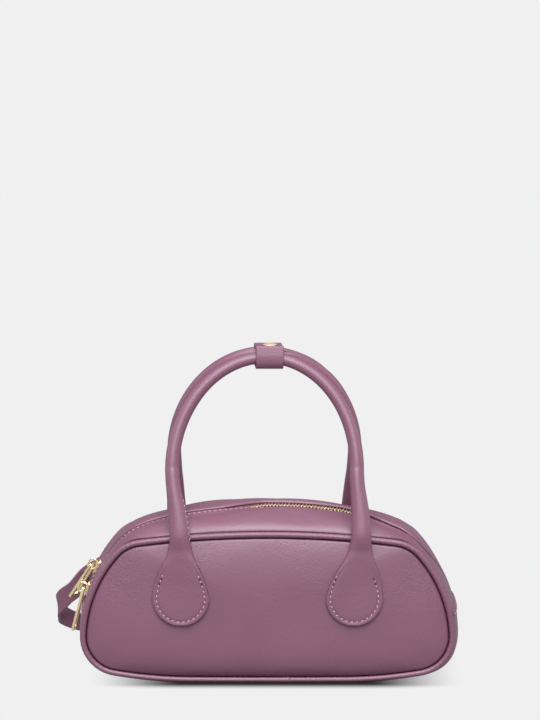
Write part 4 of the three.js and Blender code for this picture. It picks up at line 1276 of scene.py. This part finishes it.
def band_sheet(line, axes, origin, width, wall, edge, half_width=None):
    """A band of leather whose middle line lies in a plane: axes are the plane's two directions and the
    direction across. The wall is thinned to a round edge all the way about. Returns the sheet and its edge
    mark."""
    run, middle = resample(line, BAND_SPACING)
    tangent = unit(np.gradient(middle, axis=0))
    normal = np.stack([-tangent[:, 1], tangent[:, 0]], axis=-1)
    share = 2 * edge_steps(1, edge / width, BAND_STEP / width) - 1
    half = np.full(len(run), width / 2) if half_width is None else half_width(run)
    end_gap = np.minimum(run, run[-1] - run)[:, None]
    side_gap = half[:, None] * (1 - np.abs(share))
    thick = wall * rounded(end_gap, edge) * rounded(side_gap, edge)
    across = (half[:, None] * share)[..., None] * axes[2]
    faces = []
    for lift in (thick / 2, -thick / 2):
        plane = middle[:, None, :] + normal[:, None, :] * lift[..., None]
        faces.append(origin + plane[..., :1] * axes[0] + plane[..., 1:] * axes[1] + across)
    mark = np.clip(1 - np.minimum(side_gap, end_gap) / (edge * PAINT_OVER), 0, 1)
    return *sheet(*faces), both_faces(mark)


keeper_skin = KEEPER_HALF_DEPTH - KEEPER_WALL / 2
keeper_line = polyline_arc(
    np.array([
        (-keeper_skin + KEEPER_LEAN, KEEPER_HIGH + KEEPER_LIP),
        (-keeper_skin, KEEPER_BEND),
        (-keeper_skin, KEEPER_LOW + KEEPER_WALL / 2),
        (keeper_skin, KEEPER_LOW + KEEPER_WALL / 2),
        (keeper_skin, KEEPER_HIGH - KEEPER_WALL / 2),
        (-keeper_skin + KEEPER_LEAN + KEEPER_WALL, KEEPER_HIGH - KEEPER_WALL / 2),
    ]),
    KEEPER_CORNERS,
)
x_axis, y_axis, z_axis = np.eye(3)
points, faces, mark = band_sheet(
    keeper_line, (y_axis, z_axis, x_axis), KEEPER_X * x_axis, KEEPER_LENGTH, KEEPER_WALL, KEEPER_EDGE,
)
points[:, 0] -= KEEPER_SKEW * (points[:, 1] + KEEPER_HALF_DEPTH)
make_piece(
    "handle_keeper_leather", points, faces, mauve_leather, "leather", edge=mark * KEEPER_PAINT,
    stands_for=("handle_keeper",),
)

STUD_RADIUS = 4.6
STUD_RISE = 1.2
STUD_Y = -1.5
STUD_SIDES = 40
STUD_SEAT = 0.1
STUD_GOLD = (0.72, 0.50, 0.36, 1)
STUD_ROUGHEST = 0.6
# radius and height up the stud's side, as shares of its radius and its rise
STUD_PROFILE = np.array((
    (0.92, 0), (0.98, 0.06), (1, 0.16), (1, 0.3), (0.975, 0.42), (0.93, 0.46), (0.9, 0.44), (0.87, 0.5),
    (0.75, 0.68), (0.6, 0.82), (0.42, 0.92), (0.22, 0.98), (0.06, 1),
))
stud_angle = np.linspace(0, 2 * math.pi, STUD_SIDES, endpoint=False)
stud_rings = np.stack([
    KEEPER_X + STUD_RADIUS * STUD_PROFILE[:, :1] * np.cos(stud_angle),
    STUD_Y + STUD_RADIUS * STUD_PROFILE[:, :1] * np.sin(stud_angle),
    KEEPER_HIGH + STUD_SEAT + STUD_RISE * STUD_PROFILE[:, 1:] + 0 * stud_angle,
], axis=-1)
satin_gold = gold_material("satin_gold", STUD_GOLD, STUD_ROUGHEST)
make_piece("keeper_stud_gold", *tube(stud_rings), satin_gold, "gold_metal", stands_for=("keeper_stud",))

# The sliders: cast metal, plated, one for each half of the zip. A plate rides on the teeth and a
# bridge stands on it, and the pull's upper bar is caught under the bridge.
SLIDER_LENGTH = 10.0
SLIDER_WIDTH = 5.6
SLIDER_THICK = 1.4
SLIDER_SINK = 0.3
SLIDER_CORNER = 2.0
# height up the plate's side, and how far its outline is drawn in there
PLATE_SIDE = np.array(((0, 0.35), (0.12, 0.1), (0.35, 0), (1.05, 0), (1.28, 0.12), (1.4, 0.4)))
WAIST_PINCH = 0.16
WAIST_PLACE = 1.5
WAIST_REACH = 2.2
BRIDGE_LENGTH = 7.6
BRIDGE_HOLE = 4.8
BRIDGE_WIDTH = 1.5
BRIDGE_WALL = 1.3
BRIDGE_CORNER = 2.1
BRIDGE_SOFT = 0.55
BRIDGE_LIFT = 0.15
PULL_X = 0.4
# place of the slider on the crest of the zip, the zip's slope there from the vertical, and the pull's hang,
# twist and tip in degrees and its slack under the bridge
SLIDERS = {
    "upper": ((-111.887, 0, 68.172), 31.113, 30, 28, 20, 2.2),
    "lower": ((-118.301, 0, 53.365), 16.541, 14, 8, 0, 2.9),
}


def oblong(half_x, half_y, corner, steps=7):
    """A loop round a rectangle with round corners, anticlockwise from the right-hand side: each corner is a
    quarter circle about its own middle."""
    turn = np.radians(np.linspace(0, 90, steps))
    quarters = []
    for k, (right, up) in enumerate(((1, 1), (-1, 1), (-1, -1), (1, -1))):
        angle = turn + k * math.pi / 2
        x = right * (half_x - corner) + corner * np.cos(angle)
        y = up * (half_y - corner) + corner * np.sin(angle)
        quarters.append(np.stack([x, y], axis=-1))
    return np.concatenate(quarters)


def wire(loop, half_wide, half_tall, corner, steps=4):
    """Closed frame of metal: a rounded oblong section carried round a flat loop. half_wide, in the plane of
    the loop, may differ from point to point."""
    along = unit(np.roll(loop, -1, axis=0) - np.roll(loop, 1, axis=0))
    side = np.stack([along[:, 1], -along[:, 0]], axis=-1)
    section = oblong(1, 1, corner, steps)
    wide = np.broadcast_to(half_wide, len(loop))[:, None] * section[:, 0]
    plane = loop[:, None, :] + side[:, None, :] * wide[..., None]
    return np.concatenate([plane, np.broadcast_to(half_tall * section[:, 1], wide.shape)[..., None]], axis=-1)


def slider_axes(slope):
    """Down the zip, across it and out of the bag, as rows, at a slope from the vertical."""
    down = np.array([-math.sin(math.radians(slope)), 0, -math.cos(math.radians(slope))])
    across = np.array([0.0, -1, 0])
    return np.stack([down, across, np.cross(down, across)])


def turned(points, twist, tip, lean):
    """Points turned about X by the twist, about Z by the tip and about Y by the lean, in degrees."""
    angles = np.radians((twist, tip, lean))
    a, b, c = np.cos(angles)
    d, e, f = np.sin(angles)
    about_x = np.array([[1, 0, 0], [0, a, -d], [0, d, a]])
    about_z = np.array([[b, -e, 0], [e, b, 0], [0, 0, 1]])
    about_y = np.array([[c, 0, f], [0, 1, 0], [-f, 0, c]])
    return points @ (about_y @ about_z @ about_x).T


def joined(*solids):
    """Several closed shells in one list of points and faces."""
    points, faces, offset = [], [], 0
    for some_points, some_faces in solids:
        points.append(some_points)
        faces.extend(group + offset for group in some_faces)
        offset += len(some_points)
    return np.concatenate(points), faces


def slider_solid():
    """Plate and bridge: the plate is a stack of rounded oblongs with a waist pinched by a bell curve, the
    bridge a flat loop."""
    level, inset = PLATE_SIDE.T
    loop = oblong(SLIDER_LENGTH / 2, SLIDER_WIDTH / 2, SLIDER_CORNER, steps=9)
    pinch = 1 - WAIST_PINCH * np.exp(-((loop[:, 0] - WAIST_PLACE) / WAIST_REACH) ** 2)
    scale_x = 1 - inset / (SLIDER_LENGTH / 2)
    scale_y = 1 - inset / (SLIDER_WIDTH / 2)
    rings = np.stack([
        loop[:, 0] * scale_x[:, None],
        loop[:, 1] * pinch * scale_y[:, None],
        level[:, None] + 0 * loop[:, 0],
    ], axis=-1)
    height = BRIDGE_HOLE + BRIDGE_WALL + SLIDER_THICK / 2
    ring = oblong((BRIDGE_LENGTH - BRIDGE_WALL) / 2, (height - BRIDGE_WALL) / 2, BRIDGE_CORNER)
    bridge = wire(ring, BRIDGE_WALL / 2, BRIDGE_WIDTH / 2, BRIDGE_SOFT)[..., (0, 2, 1)]
    bridge[..., 2] += SLIDER_THICK / 2 + height / 2 + BRIDGE_LIFT
    return joined(tube(rings), tube(bridge, closed=True))


# The pulls: open frames of flat plated bar that widen to the foot. Both hang from their bridges on
# the left, the upper one turned so that its face shows, the lower one edge on beneath it.
PULL_LENGTH = 30.0
PULL_TOP_WIDTH = 6.2
PULL_FOOT_WIDTH = 9.4
PULL_TOP_BAR = 1.6
PULL_TOP_SIDE = 1.25
PULL_FOOT_SIDE = 2.1
PULL_FOOT_BAR = 2.2
PULL_THICK = 1.8
PULL_BEVEL = 0.22
PULL_CORNER = 0.9
PULL_HOLE_CORNER = 0.35
FLAT_LIMIT = 35


def pull_outline(top, foot, top_half, foot_half, corner):
    """A loop round four corners, narrow at the top and wide at the foot, each turned with an arc. It starts
    in the middle of the top."""
    corners = [(top, -top_half), (foot, -foot_half), (foot, foot_half), (top, top_half)]
    return polyline_arc(np.array([(top, 0), *corners, (top, 0)]), (corner,) * 4, steps=6)[:-1]


def pull_solid():
    """Four bars in one frame: a bevelled section, set by shares of the way from the rim to the hole, is
    carried round both outlines at once."""
    top = -PULL_TOP_BAR / 2
    foot = top + PULL_LENGTH
    top_half = PULL_TOP_WIDTH / 2
    foot_half = PULL_FOOT_WIDTH / 2
    rim = pull_outline(top, foot, top_half, foot_half, PULL_CORNER)
    hole = pull_outline(
        top + PULL_TOP_BAR, foot - PULL_FOOT_BAR, top_half - PULL_TOP_SIDE, foot_half - PULL_FOOT_SIDE,
        PULL_HOLE_CORNER,
    )
    bar = np.linalg.norm(hole - rim, axis=1)[:, None]
    bevel = PULL_BEVEL / bar
    tall = PULL_THICK / 2
    low = tall - PULL_BEVEL
    section = (
        (bevel, -tall), (0 * bar, -low), (0 * bar, low), (bevel, tall),
        (1 - bevel, tall), (1 + 0 * bar, low), (1 + 0 * bar, -low), (1 - bevel, -tall),
    )
    rings = np.stack([
        np.concatenate([rim + (hole - rim) * way, np.full_like(bar, level)], axis=1) for way, level in section
    ], axis=1)
    return tube(rings, closed=True)


def flat_shaded(piece):
    """Keeps broad faces flat and only the softened edges round, by the angle between faces."""
    piece.data.set_sharp_from_angle(angle=math.radians(FLAT_LIMIT))


for slider_name, (place, slope, hang, twist, tip, slack) in SLIDERS.items():
    axes = slider_axes(slope)
    origin = np.array(place) - axes[2] * SLIDER_SINK
    points, faces = slider_solid()
    flat_shaded(make_piece(
        f"zip_slider_{slider_name}_gold", origin + points @ axes, faces, pale_gold, "gold_metal",
        stands_for=(f"zip_slider_{slider_name}",),
    ))
    points, faces = pull_solid()
    points = turned(points, twist, -tip, slope - hang)
    points = points + np.array([PULL_X, 0, SLIDER_THICK + BRIDGE_HOLE - slack])
    flat_shaded(make_piece(
        f"zip_pull_{slider_name}_gold", origin + points @ axes, faces, pale_gold, "gold_metal",
        body=f"{slider_name}_pull", stands_for=(f"zip_pull_{slider_name}",),
    ))

# The strap's fixings: on each end of the back panel a folded tab of leather is sewn down, and a
# ring of bent gold wire is caught in its fold.
TAB_X = 84.0
TAB_Z = 76.0
TAB_LENGTH = 18.0
TAB_WIDTH = 12.0
TAB_WALL = 1.05
TAB_EYE = 3.3
TAB_EYE_TURN = 160
TAB_EYE_POINTS = 26
TAB_EDGE = 0.45
TAB_PAINT = 0.3
TAB_ROUND = 4
TAB_END_CUT = 0.75
TAB_PITCH = 3.0
# along a tab, and how many walls off the panel its upper layer's middle lies there
TAB_RETURN = ((2.5, 1.75), (0.4 - TAB_LENGTH / 2, 1.55))
# corners of the row of stitches, along and across a tab, to a last step past the first corner
TAB_ROW = np.array(((4.2, 4.2), (-6.8, 4.2), (-6.8, -4.2), (4.2, -4.2), (4.2, 4.2), (3, 4.2)))
TAB_ROW_CORNER = 0.6
# along a tab, and how many walls off the panel the row lies there
TAB_ROW_LIFT = np.array(((-9, 2.1), (2.5, 2.3), (6, 2.9)))
RING_WIRE = 1.3
RING_REACH = 11.0
RING_HALF_WIDTH = 9.2
RING_CORNER = 3.0
RING_TILT = 12
RING_ROUND = 0.999
RING_FALLS = {"left": (-1, 37), "right": (1, 60)}


def tab_axes(side, fall):
    """Towards the ring, across and out of the back panel at a tab, and the place on the panel."""
    place = np.array([side * TAB_X, panel_out(TAB_X, TAB_Z, 1), TAB_Z])
    slope_x = side * (panel_out(TAB_X + 1, TAB_Z, 1) - panel_out(TAB_X, TAB_Z, 1))
    slope_z = panel_out(TAB_X, TAB_Z + 1, 1) - panel_out(TAB_X, TAB_Z, 1)
    out = unit(np.array([-slope_x, 1, -slope_z]))
    towards = np.array([side * math.cos(math.radians(fall)), 0, -math.sin(math.radians(fall))])
    towards = unit(towards - out * (towards @ out))
    return place, np.stack([towards, np.cross(out, towards), out])


def tab_line():
    """Side view of the folded tab: along the panel, round the ring's wire and back on top of itself."""
    eye_x, eye_z = TAB_LENGTH / 2, GAP + TAB_EYE
    middle = TAB_EYE - TAB_WALL / 2
    turn = np.radians(np.linspace(-90, TAB_EYE_TURN, TAB_EYE_POINTS))
    eye = np.stack([eye_x + middle * np.cos(turn), eye_z + middle * np.sin(turn)], axis=-1)
    start = (-TAB_LENGTH / 2, GAP + TAB_WALL / 2)
    finish = [(along, GAP + TAB_WALL * walls) for along, walls in TAB_RETURN]
    return np.concatenate([[start], eye, finish])


def tab_half_width(run):
    """Half the width along a tab: at both ends it is cut round, down to half the width at the tip."""
    near_end = np.clip(np.minimum(run, run[-1] - run) / TAB_ROUND, 0, 1)
    return TAB_WIDTH / 2 * np.sqrt(1 - (1 - near_end) ** 2 * TAB_END_CUT)


ring_bars = {}
strap_ups = {}
for tab_name, (side, fall) in RING_FALLS.items():
    place, axes = tab_axes(side, fall)
    towards, across, out = axes
    points, faces, mark = band_sheet(
        tab_line(), (towards, out, across), place, TAB_WIDTH, TAB_WALL, TAB_EDGE, tab_half_width,
    )
    make_piece(
        f"strap_tab_{tab_name}_leather", points, faces, mauve_leather, "leather", edge=mark * TAB_PAINT,
        stands_for=(f"strap_tab_{tab_name}",),
    )
    row = polyline_arc(TAB_ROW, (TAB_ROW_CORNER,) * 4, steps=4)
    lift = GAP + TAB_WALL * np.interp(row[:, :1], *TAB_ROW_LIFT.T)
    row_points = place + np.concatenate([row, lift], axis=1) @ axes
    _, _, places, along = evenly(row_points, TAB_PITCH)
    sew(f"strap_tab_{tab_name}", places, along, np.tile(out, (len(places), 1)), 0)

    ring_origin = place + towards * TAB_LENGTH / 2 + out * (GAP + TAB_EYE)
    tilt = math.radians(RING_TILT)
    ring_along = towards * math.cos(tilt) + out * math.sin(tilt)
    ring_off = out * math.cos(tilt) - towards * math.sin(tilt)
    loop = oblong(RING_REACH / 2, RING_HALF_WIDTH, RING_CORNER, steps=9) + np.array([RING_REACH / 2, 0])
    points, faces = tube(wire(loop, RING_WIRE, RING_WIRE, RING_ROUND, steps=5), closed=True)
    points = ring_origin + points @ np.stack([ring_along, across, ring_off])
    make_piece(
        f"strap_ring_{tab_name}_gold", points, faces, pale_gold, "gold_metal",
        stands_for=(f"strap_ring_{tab_name}",),
    )
    ring_bars[tab_name] = (ring_origin + ring_along * RING_REACH, ring_along, ring_off)
    strap_ups[tab_name] = across * -side

# The strap: one long band of doubled leather, 12 mm wide, folded round a ring at each end and sewn
# back on itself. It drops from the left ring, runs on its edge over the floor behind the bag, and
# comes up again to the right ring.
STRAP_WIDTH = 12.0
STRAP_THICK = 2.4
STRAP_TAIL = 24.0
STRAP_TAPER = 11.0
STRAP_SPACING = 1.6
STRAP_CORNER = 0.75
STRAP_PAINT = 0.25
STRAP_CREASE = 0.12
STRAP_CREASE_IN = 2.0
STRAP_CREASE_SPREAD = 0.5
STRAP_ROUTE = np.array((
    (-129.5, 43, 41.8), (-136.8, 46.5, 35.3), (-140.3, 51.5, 28.7), (-140.3, 56.5, 23.2),
    (-139, 60.5, 19.2), (-134.5, 64, 15.5), (-126, 68.8, 11.6), (-112, 76, 8.4), (-96, 85, 6.8),
    (-83, 100, 6.3), (-77, 124, 6.3), (-83, 156, 6.3), (-94, 192, 6.3), (-102, 230, 6.3),
    (-102, 270, 6.3), (-88, 308, 6.3), (-62, 335, 6.3), (-32, 350, 6.3), (0, 355, 6.3), (32, 350, 6.3),
    (62, 335, 6.3), (88, 308, 6.3), (102, 270, 6.3), (105, 230, 6.3), (103, 190, 6.3), (100, 150, 6.3),
    (99, 118, 6.4), (102, 92, 8.2), (106.5, 71, 14), (109, 57, 24),
))


def strap_end(bar, along, off):
    """The strap's middle line at a ring: in along the folded tail, half round the bar and out again."""
    bend = RING_WIRE + 2 * GAP + STRAP_THICK / 2
    laid = STRAP_THICK / 2 + GAP / 2
    halfway = (laid + bend) / 2
    turn = np.radians(np.linspace(-90, 90, 5))
    far = np.concatenate([[STRAP_TAIL, STRAP_TAPER], -bend * np.cos(turn), [STRAP_TAPER, STRAP_TAIL]])
    aside = np.concatenate([[-laid, -halfway], bend * np.sin(turn), [halfway, laid]])
    return bar + far[:, None] * along + aside[:, None] * off


def through(points, steps=24):
    """A smooth curve through points: each stretch is a cubic, blended in three rounds from its four nearest
    points, their knots spaced by the square root of the distance between the points."""
    ends = np.concatenate([[2 * points[0] - points[1]], points, [2 * points[-1] - points[-2]]])
    gaps = np.sqrt(np.linalg.norm(np.diff(ends, axis=0), axis=1))
    p = [ends[k: len(ends) - 3 + k, None, :] for k in range(4)]
    t0 = np.zeros(len(points) - 1)[:, None, None]
    t1 = t0 + gaps[:-2, None, None]
    t2 = t1 + gaps[1:-1, None, None]
    t3 = t2 + gaps[2:, None, None]
    t = t1 + (t2 - t1) * np.linspace(0, 1, steps, endpoint=False)[None, :, None]

    def mix(a, b, low, high):
        """A point between two others, by where the knot t lies between theirs."""
        return a * (high - t) / (high - low) + b * (t - low) / (high - low)

    a1 = mix(p[0], p[1], t0, t1)
    a2 = mix(p[1], p[2], t1, t2)
    a3 = mix(p[2], p[3], t2, t3)
    b1 = mix(a1, a2, t0, t2)
    b2 = mix(a2, a3, t1, t3)
    return np.concatenate([mix(b1, b2, t1, t2).reshape(-1, 3), points[-1:]])


strap_line = through(np.concatenate([
    strap_end(*ring_bars["left"]), STRAP_ROUTE, strap_end(*ring_bars["right"])[::-1],
]))
strap_run, strap_middle = resample(strap_line, STRAP_SPACING)
strap_along = unit(np.gradient(strap_middle, axis=0))
strap_fold = 2 * STRAP_TAIL
near_left = np.clip((2 * strap_fold - strap_run) / strap_fold, 0, 1)[:, None]
near_right = np.clip((2 * strap_fold - (strap_run[-1] - strap_run)) / strap_fold, 0, 1)[:, None]
strap_up = np.tile([0.0, 0, 1], (len(strap_run), 1))
strap_up = strap_up + (strap_ups["left"] - strap_up) * near_left
strap_up = strap_up + (strap_ups["right"] - strap_up) * near_right
strap_up = unit(strap_up - strap_along * (strap_up * strap_along).sum(-1, keepdims=True))
strap_face = np.cross(strap_along, strap_up)
strap_section = oblong(STRAP_WIDTH / 2, STRAP_THICK / 2, STRAP_CORNER, steps=5)
from_edge = STRAP_WIDTH / 2 - np.abs(strap_section[:, 0])
crease = STRAP_CREASE * np.exp(-((from_edge - STRAP_CREASE_IN) / STRAP_CREASE_SPREAD) ** 2)
strap_depth = strap_section[:, 1] - np.sign(strap_section[:, 1]) * crease
strap_rings = (
    strap_middle[:, None, :]
    + strap_up[:, None, :] * strap_section[None, :, :1]
    + strap_face[:, None, :] * strap_depth[None, :, None]
)
strap_mark = np.clip(1 - from_edge / STRAP_CORNER, 0, 1)
strap_points, strap_faces = tube(strap_rings)
strap_edge = np.concatenate([np.tile(strap_mark, len(strap_run)), [1, 1]])
make_piece(
    "shoulder_strap_leather", strap_points, strap_faces, mauve_leather, "leather",
    edge=strap_edge * STRAP_PAINT, stands_for=("shoulder_strap",),
)
